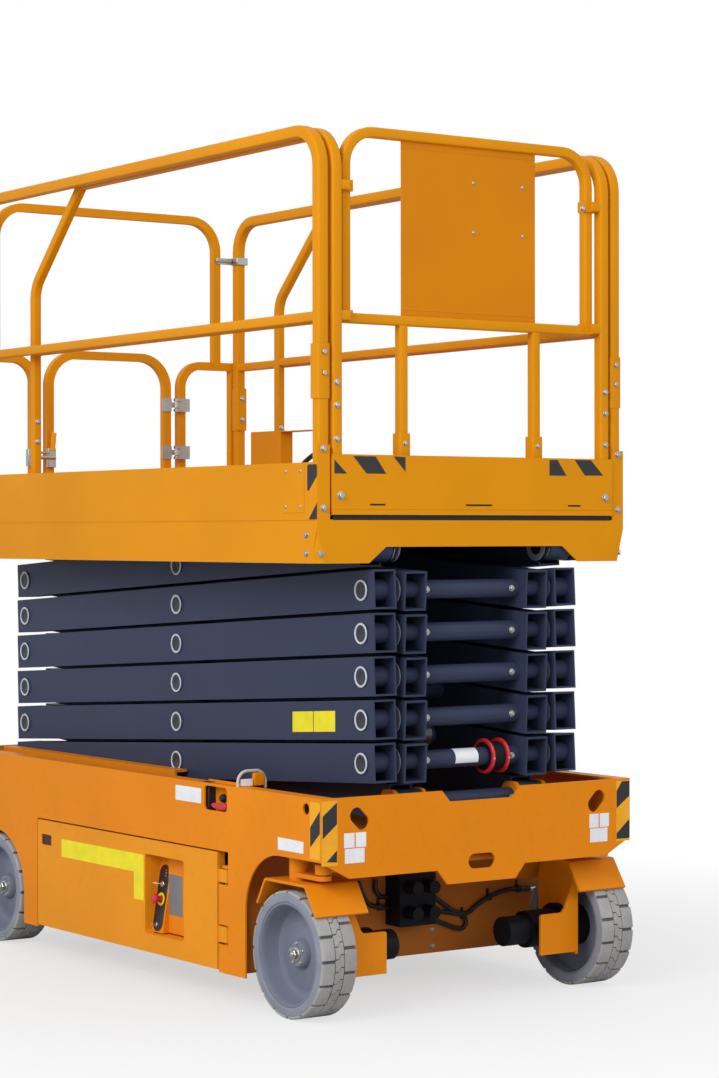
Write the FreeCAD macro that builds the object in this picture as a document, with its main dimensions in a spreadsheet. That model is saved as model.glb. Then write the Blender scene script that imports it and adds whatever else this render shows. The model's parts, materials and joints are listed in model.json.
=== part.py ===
"""A slab scissor lift: a low chassis on four wheels, six levels of scissor arms and a railed platform.

Millimetres. +X points to the steered end, +Y to the left side, +Z up. The origin lies on the floor
at the middle of the machine's length and width, and the platform is lowered, as it parks.
"""
import FreeCAD, Part
import math
import os
import Sketcher

doc = FreeCAD.newDocument("ScissorLift")
V = FreeCAD.Vector

# Driving sizes: alias, value, what it is
SIZES = [
    # wheels and axles
    ("wheel_radius", 190.5, "outside radius of a tyre, to the tips of its blocks"),
    ("wheel_width", 127, "width of a tyre"),
    ("tread_depth", 7, "depth of the grooves between the tread blocks"),
    ("groove_width", 10, "width of a groove across the tread"),
    ("shoulder", 46, "length of a groove, in from the tyre's face"),
    ("rim_radius", 138, "radius of the seat between rim and tyre"),
    ("dish_radius", 118, "inside radius of the rim's dish"),
    ("dish_depth", 62, "depth of the rim's dish from the tyre's face"),
    ("hub_radius", 42, "radius of the hub in the dish"),
    ("front_axle", 1052, "steered axle, along the length"),
    ("rear_axle", -823, "fixed axle, along the length"),
    ("track_outer", 595, "outer face of a tyre, from the middle plane"),
    ("king_x", 1025, "kingpin axis, along the length"),
    ("king_radius", 30, "radius of the kingpin tube"),
    ("king_pin", 20, "radius of the kingpin in its boss"),
    ("link_x", 1152, "steering link pins, along the length"),
    ("link_pin", 14, "radius of a steering link pin"),
    ("motor_neck", 57, "radius of the drive motor where it passes its carrier"),
    ("carrier_in", 145, "outer face of the motor's carrier, in from the tyre's outer face"),
    ("carrier_sheet", 12, "thickness of the motor's carrier"),
    ("disc_thick", 14, "thickness of a rim's disc"),
    # chassis
    ("chassis_front", 1229, "front face of the front plate"),
    ("chassis_rear", -1105, "rear face of the rear plate"),
    ("chassis_half", 589.5, "outer face of the side plates"),
    ("chassis_top", 667, "top edge of the side plates"),
    ("chassis_low", 88, "bottom edge of the side plates"),
    ("sheet", 6, "thickness of the chassis plates"),
    ("flange_wide", 50, "width of the fold along the side plates' top"),
    ("front_sheet", 8, "thickness of the front plate"),
    ("tray_floor", 530, "top of the plate under the scissor arms"),
    ("arch_front_top", 480, "top of the front wheel arch"),
    ("arch_front_back", 816, "back edge of the front wheel arch"),
    ("arch_front_bend", 185, "radius of the front wheel arch's corner"),
    ("arch_rear_radius", 205, "half width of the rear wheel arch"),
    ("bulkhead_front", 800, "front face of the plate behind the steered wheels"),
    ("bulkhead_rear", -612, "rear face of the plate before the fixed wheels"),
    ("bulkhead_low", 100, "bottom edge of the bulkheads and of the middle beam"),
    ("beam_half", 190, "outer face of the middle beam's walls"),
    ("well_wall", 440, "outer face of the plate that carries a rear spindle"),
    # side doors
    ("door_back", -515, "rear edge of a side door"),
    ("door_front", 655, "front edge of a side door's panel"),
    ("door_top", 458, "top edge of a side door"),
    ("door_low", 95, "bottom edge of a side door"),
    ("door_thick", 28, "depth of a side door's folded panel"),
    ("door_hinge_x", 690, "hinge axis of a side door, along the length"),
    ("door_hinge_in", 16, "hinge axis, in from the chassis side"),
    ("door_gap", 5, "gap around a side door"),
    ("door_pin", 7, "radius of a side door's hinge pin"),
    ("hinge_end", 718, "front edge of the door opening"),
    ("hinge_plate_back", 663, "rear edge of the fixed plates beside a door's hinges"),
    ("tray_depth", 300, "depth of the tray that swings out with a door"),
    ("tray_back", -440, "rear end of a door's tray"),
    ("tray_front", 610, "front end of a door's tray"),
    ("recess_back", 214, "rear edge of the control recess"),
    ("recess_front", 455, "front edge of the control recess"),
    ("recess_low", 155, "bottom of the control recess"),
    ("recess_top", 410, "top of the control recess"),
    ("recess_depth", 95, "depth of the control recess"),
    # scissor stack
    ("arm_low_row", 626.3, "height of the lowest row of pins"),
    ("row_step", 129.2, "height from one row of pins to the next"),
    ("pin_front", 1145, "front row of pins, along the length"),
    ("pin_rear", -990, "rear row of pins, along the length"),
    ("arm_height", 118, "height of an arm's tube"),
    ("arm_width", 83, "width of an arm's tube"),
    ("arm_wall", 6, "wall of an arm's tube"),
    ("arm_overhang", 60, "arm end past its pin"),
    ("outer_face", 386, "outer face of the outer arms"),
    ("seat_gap", 0.3, "gap between a turning piece and the piece it turns against"),
    ("inner_face", 273, "outer face of the inner arms"),
    ("boss_radius", 32, "radius of the bearing ring in an arm"),
    ("boss_out", 4, "how far a bearing ring stands out of its arm"),
    ("pin_radius", 26, "radius of a scissor pin"),
    ("pin_play", 0.08, "gap between a pin and the bore that it turns in"),
    ("nose_radius", 45, "radius of the lowest and highest arms' rounded front ends"),
    ("nose_back", 20, "how far behind its pin the tube of such an arm stops"),
    ("tube_radius", 28.5, "radius of the cross tubes between inner arms"),
    # lift cylinder
    ("foot_reach", 1960, "lower cylinder pin from its frame's front pin, along the arm"),
    ("foot_drop", 30, "lower cylinder pin, below its arm's centreline"),
    ("eye_reach", 250, "upper cylinder eye from its frame's front pin, along the arm"),
    ("eye_drop", 90, "upper cylinder eye, below its arm's centreline"),
    ("eye_radius", 42, "radius of the rod's eye"),
    ("eye_half", 32, "half width of the rod's eye"),
    ("bracket_reach", 390, "cross tube of the upper bracket from the front pin, along the arm"),
    ("bracket_rise", 30, "cross tube of the upper bracket, above its arm's centreline"),
    ("bracket_radius", 25, "radius of the upper bracket's cross tube"),
    ("barrel_radius", 55, "radius of the cylinder's barrel"),
    ("barrel_long", 1500, "length of the barrel from its lower pin"),
    ("rod_radius", 33, "radius of the cylinder's rod"),
    # slide tracks
    ("track_front", 150, "front end of the slide tracks"),
    ("track_rear", -1060, "rear end of the slide tracks"),
    ("track_wall", 8, "thickness of the slide tracks"),
    ("shoe_long", 70, "length of a slide shoe"),
    ("shoe_high", 64, "height of a slide shoe"),
    ("shoe_wide", 38, "width of a slide shoe"),
    ("shoe_play", 1, "gap between a slide shoe and its track"),
    # platform
    ("deck_front", 1203, "front face of the platform's frame"),
    ("deck_rear", -1085, "rear face of the platform's frame"),
    ("deck_half", 585, "outer face of the platform's sides"),
    ("deck_low", 1353.5, "bottom of the platform's frame"),
    ("deck_seam", 1481, "seam between the frame and the toe boards"),
    ("deck_floor", 1500, "walking surface"),
    ("deck_sheet", 5, "thickness of the platform's plates"),
    ("toe_top", 1651, "top of the side toe boards"),
    ("front_toe_top", 1675, "top of the front toe board"),
    ("notch_low_half", 400, "half width of the front notch at its mouth"),
    ("notch_top_half", 337, "half width of the front notch at its top"),
    ("notch_top", 1402, "top of the front notch"),
    # rails
    ("rail_top", 2652, "top of the rails"),
    ("tube", 36, "side of the rails' square tube"),
    ("thin_tube", 30, "side of the middle rails' square tube"),
    ("rail_in", 9, "outer face of the main side rails, in from the platform's sides"),
    ("rail_rear", -1017, "rear face of the main side rails"),
    ("rail_bend", 130, "outside radius of the side rails' corners"),
    ("mid_rail", 2080, "centre of the middle rails"),
    ("brace_x", -610, "rear edge of the kinked brace"),
    ("brace_kink", 2300, "height of the brace's kink"),
    ("brace_top_x", -324, "rear edge of the brace at the top rail"),
    # extension
    ("slide_rear", 215, "rear end of the extension's floor"),
    ("slide_front", 1209, "front face of the extension's toe board"),
    ("slide_half", 535, "half width of the extension"),
    ("slide_face", 533, "outer face of the extension's side rails"),
    ("slide_rail_front", 1203, "front face of the extension's side posts"),
    ("front_frame", 1180, "front face of the extension's end frame"),
    ("front_half", 479, "half width of the extension's end frame"),
    ("front_bend", 115, "outside radius of the end frame's corners"),
    ("panel_half", 257, "half width of the panel on the end frame"),
    ("panel_low", 2075, "bottom of the panel on the end frame"),
    ("leg_y", 254, "end frame's legs, from the middle plane"),
    # rear rails and gate
    ("rear_frame", -1050, "front face of the rear rail frames"),
    ("rear_half", 487, "half width of the rear top frame"),
    ("low_rail_top", 2098, "top of the rear's lower frames"),
    ("gate_half", 266, "half width of the gate"),
    ("gate_top", 2120, "top of the gate"),
    ("gate_bend", 130, "outside radius of the gate's corners"),
    ("gate_low", 1512, "bottom of the gate"),
    ("gate_hinge_x", -1040, "hinge axis of the gate, along the length"),
    ("gate_hinge_y", 283, "hinge axis of the gate, across the machine"),
    ("gate_pin", 5, "radius of the gate's hinge pins"),
    ("low_rail_in", 300, "inner edge of the rear's lower frames"),
    ("low_rail_out", 563, "outer edge of the rear's lower frames"),
]


class Size:
    """A size that knows its value in mm and the sheet formula that gives it."""

    def __init__(self, value, formula):
        self.value = float(value)
        self.formula = formula

    def joined(self, sign, other, value):
        return Size(value, f"({self.formula} {sign} {formula_of(other)})")

    def __add__(self, other):
        return self.joined("+", other, self.value + value_of(other))

    def __sub__(self, other):
        return self.joined("-", other, self.value - value_of(other))

    def __mul__(self, other):
        return self.joined("*", other, self.value * value_of(other))

    def __truediv__(self, other):
        return self.joined("/", other, self.value / value_of(other))

    def __radd__(self, other):
        return Size(other, repr(float(other))) + self

    def __rsub__(self, other):
        return Size(other, repr(float(other))) - self

    def __rmul__(self, other):
        return self * other

    def __neg__(self):
        return Size(-self.value, f"(-1 * {self.formula})")


def value_of(size):
    return size.value if isinstance(size, Size) else float(size)


def formula_of(size):
    return size.formula if isinstance(size, Size) else repr(float(size))


class Sheet:
    """The spreadsheet of driving sizes, each read as an attribute."""

    def __init__(self, rows):
        self.cells = doc.addObject("Spreadsheet::Sheet", "Sizes")
        self.known = {}
        for row, (alias, value, note) in enumerate(rows, 1):
            self.cells.set(f"A{row}", str(value))
            self.cells.setAlias(f"A{row}", alias)
            self.cells.set(f"B{row}", note)
            self.known[alias] = Size(value, f"Sizes.{alias}")

    def __getattr__(self, alias):
        return self.known[alias]


d = Sheet(SIZES)
doc.recompute()


def bind(thing, place, size):
    """Sets a property from a size and keeps it tied to the sheet."""
    if isinstance(size, Size):
        thing.setExpression(place, size.formula)
    else:
        setattr(thing, place, size)


def datum(sketch, constraint, size):
    index = sketch.addConstraint(constraint)
    if isinstance(size, Size):
        sketch.setExpression(f"Constraints[{index}]", size.formula)


def circle(across, up, radius):
    return ("circle", across, up, radius)


def box(left, right, low, high, radius=0):
    """A rectangle with one radius on all its corners."""
    return [(left, low, radius), (right, low, radius), (right, high, radius), (left, high, radius)]


def slot(left, right, low, high):
    """A rectangle whose short ends are round."""
    short = min(value_of(right) - value_of(left), value_of(high) - value_of(low))
    return box(left, right, low, high, short * 0.499)


def add_circle(sketch, loop):
    _, across, up, radius = loop
    centre = V(value_of(across), value_of(up), 0)
    index = sketch.addGeometry(Part.Circle(centre, V(0, 0, 1), value_of(radius)), False)
    datum(sketch, Sketcher.Constraint("Radius", index, value_of(radius)), radius)
    datum(sketch, Sketcher.Constraint("DistanceX", -1, 1, index, 3, centre.x), across)
    datum(sketch, Sketcher.Constraint("DistanceY", -1, 1, index, 3, centre.y), up)


def add_outline(sketch, loop):
    """Straight sides joined at corners (across, up, radius). Each corner's place and radius is tied."""
    corners = [V(value_of(p[0]), value_of(p[1]), 0) for p in loop]
    radii = [value_of(p[2]) if len(p) > 2 else 0.0 for p in loop]
    count = len(corners)
    starts, ends = list(corners), list(corners)
    arcs = {}
    for i in range(count):
        if not radii[i]:
            continue
        back = (corners[i - 1] - corners[i]).normalize()
        ahead = (corners[(i + 1) % count] - corners[i]).normalize()
        half = back.getAngle(ahead) / 2
        reach = radii[i] / math.tan(half)
        ends[i] = corners[i] + back * reach
        starts[i] = corners[i] + ahead * reach
        centre = corners[i] + (back + ahead).normalize() * (radii[i] / math.sin(half))
        arcs[i] = centre
    lines = []
    for i in range(count):
        side = Part.LineSegment(starts[i], ends[(i + 1) % count])
        lines.append(sketch.addGeometry(side, False))
    ties = []
    for i in range(count):
        before, after = lines[i - 1], lines[i]
        if i not in arcs:
            ties.append(Sketcher.Constraint("Coincident", before, 2, after, 1))
            continue
        centre = arcs[i]
        a, b = ends[i] - centre, starts[i] - centre
        left_turn = a.cross(b).z > 0
        first, last = (a, b) if left_turn else (b, a)
        ring = Part.Circle(centre, V(0, 0, 1), radii[i])
        arc = Part.ArcOfCircle(ring, math.atan2(first.y, first.x), math.atan2(last.y, last.x))
        index = sketch.addGeometry(arc, False)
        from_before, to_after = (1, 2) if left_turn else (2, 1)
        ties.append(Sketcher.Constraint("Tangent", index, from_before, before, 2))
        ties.append(Sketcher.Constraint("Tangent", index, to_after, after, 1))
        arcs[i] = index
    sketch.addConstraint(ties)
    for i in range(count):
        across, up = loop[i][0], loop[i][1]
        if i in arcs:
            mark = sketch.addGeometry(Part.Point(corners[i]), True)
            sketch.addConstraint([
                Sketcher.Constraint("PointOnObject", mark, 1, lines[i - 1]),
                Sketcher.Constraint("PointOnObject", mark, 1, lines[i]),
            ])
            datum(sketch, Sketcher.Constraint("Radius", arcs[i], radii[i]), loop[i][2])
        else:
            mark = lines[i]
        datum(sketch, Sketcher.Constraint("DistanceX", -1, 1, mark, 1, corners[i].x), across)
        datum(sketch, Sketcher.Constraint("DistanceY", -1, 1, mark, 1, corners[i].y), up)


# Sketch planes: origin feature, and which way the sketch's normal points along its world axis.
# Across and up on them: side is X and Z, end is Y and Z, plan is X and Y.
PLANES = {"side": ("XZ_Plane", -1), "end": ("YZ_Plane", 1), "plan": ("XY_Plane", 1)}


def new_body(name):
    return doc.addObject("PartDesign::Body", name)


def drawing(body, name, plane, loops, level):
    """A sketch of closed loops on one of the body's own planes, at a level along that plane's axis."""
    role, way = PLANES[plane]
    sketch = body.newObject("Sketcher::SketchObject", name)
    origin_plane = [f for f in body.Origin.OriginFeatures if f.Role == role][0]
    sketch.AttachmentSupport = [(origin_plane, "")]
    sketch.MapMode = "FlatFace"
    shift = level if way > 0 else -1 * level
    sketch.AttachmentOffset = FreeCAD.Placement(V(0, 0, value_of(shift)), FreeCAD.Rotation())
    if isinstance(shift, Size):
        sketch.setExpression("AttachmentOffset.Base.z", shift.formula)
    for loop in loops:
        if loop[0] == "circle":
            add_circle(sketch, loop)
        else:
            add_outline(sketch, loop)
    sketch.Visibility = False
    return sketch


def swept(body, kind, name, plane, loops, low, high):
    way = PLANES[plane][1]
    level = low if way > 0 else high
    sketch = drawing(body, name + "_outline", plane, loops, level)
    feature = body.newObject(kind, name)
    feature.Profile = sketch
    bind(feature, "Length", high - low)
    return feature


def pad(body, name, plane, loops, low, high):
    """Adds the loops' area between two levels, low and high, along the plane's own axis."""
    return swept(body, "PartDesign::Pad", name, plane, loops, low, high)


def pocket(body, name, plane, loops, low, high):
    """Cuts the loops' area between two levels, and checks that it cut something."""
    doc.recompute()
    before = body.Shape.Volume
    feature = swept(body, "PartDesign::Pocket", name, plane, loops, low, high)
    feature.Reversed = True
    doc.recompute()
    if not body.Shape.Volume < before - 1:
        raise RuntimeError(f"{name} cuts nothing")
    return feature


def both_sides(body, features):
    """Repeats features of a body on the other side of the machine's middle plane."""
    mirror = body.newObject("PartDesign::Mirrored", "Mirrored")
    mirror.Originals = features
    plane = [f for f in body.Origin.OriginFeatures if f.Role == "XZ_Plane"][0]
    mirror.MirrorPlane = (plane, [""])
    body.Tip = mirror
    return mirror


PARTS = []


def part(node, thing):
    """Names a finished sub-part."""
    thing.Label = node
    PARTS.append(thing)
    return thing


def mirrored(name, thing):
    """A copy on the other side of the machine's middle plane."""
    copy = doc.addObject("Part::Mirroring", name)
    copy.Source = thing
    copy.Normal = V(0, 1, 0)
    return copy


def group(name, things):
    """Solids on one body that share a node."""
    joined = doc.addObject("Part::Compound", name)
    joined.Links = things
    return joined


def pair(node, thing):
    """A piece and its twin on the other side, as one sub-part."""
    return part(node, group(node + "_pair", [thing, mirrored(node + "_twin", thing)]))


def fused(name, things):
    joined = doc.addObject("Part::MultiFuse", name)
    joined.Shapes = things
    joined.Refine = True
    return joined


# Chassis

king_y = -1 * (d.track_outer - d.wheel_width / 2)
chassis_inner = d.chassis_half - d.sheet
under_tray = d.tray_floor - d.sheet

# Heights of the fixed plates beside a door's hinge barrels, and of the barrels between them
HINGE_PLATE = (236, 360)
LOW_HINGE_PLATE_TOP = 175
DOOR_BARRELS = ((181, 230), (366, 406))


def side_plate_outline():
    """The side plate's edge, with both wheel arches and the opening for the door."""
    arch_back = d.rear_axle - d.arch_rear_radius
    arch_front = d.rear_axle + d.arch_rear_radius
    arch_top = d.wheel_radius + d.arch_rear_radius
    bend = d.arch_rear_radius * 0.98
    return [
        (d.chassis_rear, d.chassis_low + 60, 20),
        (arch_back, d.chassis_low + 60),
        (arch_back, arch_top, bend),
        (arch_front, arch_top, bend),
        (arch_front, d.chassis_low),
        (d.door_back - d.door_gap, d.chassis_low),
        (d.door_back - d.door_gap, d.door_top + d.door_gap),
        (d.hinge_end, d.door_top + d.door_gap),
        (d.hinge_end, HINGE_PLATE[1]),
        (d.hinge_plate_back, HINGE_PLATE[1]),
        (d.hinge_plate_back, HINGE_PLATE[0]),
        (d.hinge_end, HINGE_PLATE[0]),
        (d.hinge_end, LOW_HINGE_PLATE_TOP),
        (d.hinge_plate_back, LOW_HINGE_PLATE_TOP),
        (d.hinge_plate_back, d.chassis_low),
        (d.arch_front_back, d.chassis_low),
        (d.arch_front_back, d.arch_front_top, d.arch_front_bend),
        (d.chassis_front - d.front_sheet, d.arch_front_top),
        (d.chassis_front - d.front_sheet, d.chassis_top),
        (d.chassis_rear, d.chassis_top),
    ]


def make_side_plates():
    """Both sides of the chassis, each one sheet folded in at its top, bored for a tie-down strap."""
    body = new_body("SidePlates")
    side_holes = [
        circle(1149, 632, 17),
        box(579, 711, 584, 659, 14),
    ]
    back, front = d.chassis_rear + d.sheet, d.chassis_front - d.front_sheet
    side = pad(body, "SidePlate", "side", [side_plate_outline()] + side_holes,
               -1 * d.chassis_half, -1 * chassis_inner)
    fold = pad(body, "TopFold", "plan",
               [box(back, front, -1 * chassis_inner - 1, -1 * d.chassis_half + d.flange_wide)],
               d.chassis_top - d.sheet, d.chassis_top)
    both_sides(body, [side, fold])
    return part("side_plates", body)


def make_chassis():
    """The floor that the arms lie on and the rear plate, between the side plates."""
    body = new_body("Chassis")
    back, front = d.chassis_rear + d.sheet, d.chassis_front - d.front_sheet
    pad(body, "FloorPlate", "plan", [box(back - 1, front, -1 * chassis_inner, chassis_inner)],
        under_tray, d.tray_floor)
    pad(body, "RearPlate", "end",
        [box(-1 * chassis_inner, chassis_inner, d.chassis_low + 60, d.chassis_top)], d.chassis_rear, back)
    return part("chassis_frame", body)


def slanted_slot(across, up, half_long, half_wide, lean):
    """A slot with round ends, turned by 45 degrees: its far end points down where lean is 1."""
    along, aside = half_long * math.sqrt(0.5), half_wide * math.sqrt(0.5)
    corners = []
    for a, b in ((-along, -aside), (along, -aside), (along, aside), (-along, aside)):
        corners.append((across + lean * (a + b), up - a + b, half_wide - 1))
    return corners


def make_front_plate():
    body = new_body("FrontPlate")
    outline = [
        (-1 * d.chassis_half, d.arch_front_top),
        (-490, 428),
        (-167, 428),
        (-130, 384),
        (130, 384),
        (167, 428),
        (490, 428),
        (d.chassis_half, d.arch_front_top),
        (d.chassis_half, d.chassis_top),
        (150, d.chassis_top),
        (120, d.chassis_top - 34),
        (-120, d.chassis_top - 34),
        (-150, d.chassis_top),
        (-1 * d.chassis_half, d.chassis_top),
    ]
    holes = [
        slot(-51, 51, 424, 470),
        slanted_slot(-453, 602, 38, 24, 1),
        slanted_slot(453, 602, 38, 24, -1),
    ]
    pad(body, "Plate", "end", [outline] + holes, d.chassis_front - d.front_sheet, d.chassis_front)
    return part("front_plate", body)


def make_beams():
    """Under the floor: the middle beam, the plates at its ends and the walls for the fixed wheels."""
    body = new_body("Beams")
    back, front = d.bulkhead_rear, d.bulkhead_front - d.sheet
    wall = pad(body, "BeamWall", "side", [box(back, front, d.bulkhead_low, under_tray)],
               -1 * d.beam_half, -1 * d.beam_half + d.sheet)
    well = pad(body, "SpindleWall", "side",
               [box(d.chassis_rear + d.sheet, back + 1, d.bulkhead_low + 20, under_tray)],
               -1 * d.well_wall, -1 * d.well_wall + 12)
    both_sides(body, [wall, well])
    pad(body, "BeamFloor", "plan", [box(back, front, -1 * d.beam_half, d.beam_half)],
        d.bulkhead_low, d.bulkhead_low + d.sheet)
    bulkhead = [box(-1 * chassis_inner, chassis_inner, d.bulkhead_low, under_tray)]
    pad(body, "FrontBulkhead", "end", bulkhead, front, d.bulkhead_front)
    pad(body, "RearBulkhead", "end", bulkhead, back, back + d.sheet)
    return part("chassis_beams", body)


def make_axle_beam():
    """The cross beam under the floor, with a bored boss for each kingpin at its ends."""
    body = new_body("AxleBeam")
    boss = pad(body, "KingBoss", "plan",
               [circle(d.king_x, king_y, 45), circle(d.king_x, king_y, d.king_pin + 0.05)],
               d.arch_front_top, under_tray)
    both_sides(body, [boss])
    pad(body, "Beam", "side", [box(d.king_x - 40, d.king_x + 40, d.arch_front_top, under_tray)],
        king_y + 38, -1 * king_y - 38)
    return part("axle_beam", body)


def make_arm_ears():
    """Four upright ears on the floor, bored for the front pins of the lowest arms."""
    ear = [
        (d.pin_front - 70, d.tray_floor),
        (d.pin_front + 62, d.tray_floor),
        (d.pin_front + 62, d.arm_low_row - 8, 24),
        (d.pin_front + 26, d.arm_low_row + 46, 24),
        (d.pin_front - 26, d.arm_low_row + 46, 24),
        (d.pin_front - 62, d.arm_low_row - 8, 24),
    ]
    inner_arm_in = d.inner_face - d.arm_width
    ears = []
    for name, low, pin in (
        ("InnerEar", -1 * inner_arm_in + 4, d.tube_radius),
        ("OuterEar", -1 * d.inner_face - 18, d.pin_radius),
    ):
        body = new_body(name)
        hole = circle(d.pin_front, d.arm_low_row, pin + d.pin_play)
        pad(body, "Plate" + name, "side", [ear, hole], low, low + 14)
        ears += [body, mirrored(name + "Left", body)]
    return part("arm_ears", group("ArmEars", ears))


def make_valve_block():
    """The block of hydraulic valves on the plate behind the steered wheels."""
    body = new_body("ValveBlock")
    pad(body, "Block", "end", [box(-55, 85, 205, 370, 4)], d.bulkhead_front, d.bulkhead_front + 78)
    for i, (across, up) in enumerate(((-20, 330), (45, 330), (-20, 250), (45, 250))):
        pad(body, f"Coil{i}", "end", [circle(across, up, 21)], d.bulkhead_front + 77, d.bulkhead_front + 130)
    return part("valve_block", body)


def make_tracks():
    """Channels beside the lowest arms, open towards the middle, for the slide shoes."""
    body = new_body("ChassisTrack")
    face = -1 * d.outer_face - 6
    wide = d.shoe_wide + d.shoe_play
    low = d.arm_low_row - d.shoe_high / 2 - d.shoe_play
    high = d.arm_low_row + d.shoe_high / 2 + d.shoe_play
    wall = d.track_wall
    channel = [
        (face, low),
        (face - wide, low),
        (face - wide, high),
        (face, high),
        (face, high + wall),
        (face - wide - wall, high + wall),
        (face - wide - wall, low - wall),
        (face, low - wall),
    ]
    pad(body, "Channel", "end", [channel], d.track_rear, d.track_front)
    foot = [box(face - wide - wall, face - wide, d.tray_floor, low - wall)]
    pad(body, "Foot", "end", foot, d.track_rear, d.track_front)
    return pair("chassis_tracks", body)


def make_spindles():
    body = new_body("RearSpindle")
    wheel_back = d.track_outer - d.dish_depth - d.disc_thick
    pad(body, "Stub", "side", [circle(d.rear_axle, d.wheel_radius, 30)],
        -1 * wheel_back + d.seat_gap, -1 * d.well_wall)
    pad(body, "Flange", "side", [circle(d.rear_axle, d.wheel_radius, 60)],
        -1 * d.well_wall - 12, -1 * d.well_wall)
    return pair("rear_spindles", body)


def make_ladder():
    """Entry ladder on the rear plate: two stringers and four treads."""
    body = new_body("Ladder")
    back = -1 * (d.front_axle + d.wheel_radius)
    stringer = [(back, 250), (d.chassis_rear, 250), (d.chassis_rear, 275), (back + 30, 275),
                (back + 30, 640), (d.chassis_rear, 640), (d.chassis_rear, 665), (back, 665)]
    one = pad(body, "Stringer", "side", [stringer], -200, -188)
    both_sides(body, [one])
    for i in range(3):
        level = 262 + 150 * i
        pad(body, f"Tread{i}", "plan", [box(back, back + 30, -189, 189)], level, level + 18)
    return part("entry_ladder", body)


def arch(left, right, low, top, tube, bend):
    """The edge of a tube bent like an upside-down U, as a flat outline."""
    inner_bend = bend - tube
    return [
        (left, low), (left, top, bend), (right, top, bend), (right, low), (right - tube, low),
        (right - tube, top - tube, inner_bend), (left + tube, top - tube, inner_bend), (left + tube, low),
    ]


def make_lifting_eyes():
    """A bent lifting ring on a foot that rests on the side plate's top fold."""
    body = new_body("LiftingEye")
    left = -1 * d.chassis_half + 5
    right = left + 110
    middle = 765
    foot = [box(middle - 30, middle + 30, left - 2, right + 2, 4)]
    pad(body, "Foot", "plan", foot, d.chassis_top, d.chassis_top + d.sheet)
    ring = [arch(left, right, d.chassis_top + d.sheet - 1, d.chassis_top + 56, 13, 50)]
    pad(body, "Ring", "end", ring, middle - 6.5, middle + 6.5)
    return pair("lifting_rings", body)


# Doors


def make_door(node, with_controls):
    body = new_body("Door_" + node)
    face = -1 * d.chassis_half
    panel = box(d.door_back, d.door_front, d.door_low, d.door_top, 4)
    pad(body, "Panel", "side", [panel], face, face + d.door_thick)
    axis_y = face + d.door_hinge_in
    for i, (low, high) in enumerate(DOOR_BARRELS):
        neck = [box(d.door_front - 5, d.door_hinge_x, low, high)]
        pad(body, f"Neck{i}", "side", neck, axis_y - 12, axis_y - 4)
        pad(body, f"Barrel{i}", "plan", [circle(d.door_hinge_x, axis_y, 12)], low, high)
    pad(body, "TrayFloor", "plan",
        [box(d.tray_back, d.tray_front, face + d.door_thick, face + d.door_thick + d.tray_depth)],
        d.door_low + 20, d.door_low + 20 + d.sheet)
    for i, x in enumerate((d.tray_back, d.tray_front - d.sheet)):
        pad(body, f"TrayEnd{i}", "end",
            [box(face + d.door_thick, face + d.door_thick + d.tray_depth, d.door_low + 20, d.door_low + 90)],
            x, x + d.sheet)
    if with_controls:
        pad(body, "RecessBox", "side",
            [box(d.recess_back - 4, d.recess_front + 4, d.recess_low - 4, d.recess_top + 4)],
            face + d.door_thick, face + d.recess_depth)
        pocket(body, "Recess", "side",
               [box(d.recess_back, d.recess_front, d.recess_low, d.recess_top, 12)],
               face - 1, face + d.recess_depth - 4)
    pocket(body, "LatchHole", "side", [box(-489, -419, 374, 410, 6)], face - 1, face + d.door_thick - 4)
    for i, (low, high) in enumerate(DOOR_BARRELS):
        bore = [circle(d.door_hinge_x, axis_y, d.door_pin + d.pin_play)]
        pocket(body, f"Bore{i}", "plan", bore, low - 1, high + 1)
    return part(node, body) if with_controls else body


def make_hinge_pins():
    """The upright pin that a side door turns on, held by two brackets behind the chassis side."""
    body = new_body("DoorPin")
    axis_y = -1 * d.chassis_half + d.door_hinge_in
    low, high = 158, d.door_top - 40
    pad(body, "Pin", "plan", [circle(d.door_hinge_x, axis_y, d.door_pin)], low, high)
    bracket = [box(d.door_hinge_x - 14, d.hinge_end + 20, -1 * chassis_inner, axis_y + 14)]
    for i, level in enumerate((low, high - 8)):
        pad(body, f"Bracket{i}", "plan", bracket, level, level + 8)
    return pair("door_pins", body)


def make_plain_block(node, mirror):
    """A heavy mass on a door's tray, as one plain block."""
    body = new_body("Block_" + node)
    face = -1 * d.chassis_half + d.door_thick
    front = d.recess_back - 30 if not mirror else d.tray_front - 40
    low = d.door_low + 20 + d.sheet
    pad(body, "Block", "side", [box(d.tray_back + 30, front, low, low + 275, 6)],
        face + 12, face + d.tray_depth - 12)
    return part(node, mirrored(node + "_left", body) if mirror else body)


# Steering and wheels


carrier_y = -1 * (d.track_outer - d.carrier_in)


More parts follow.
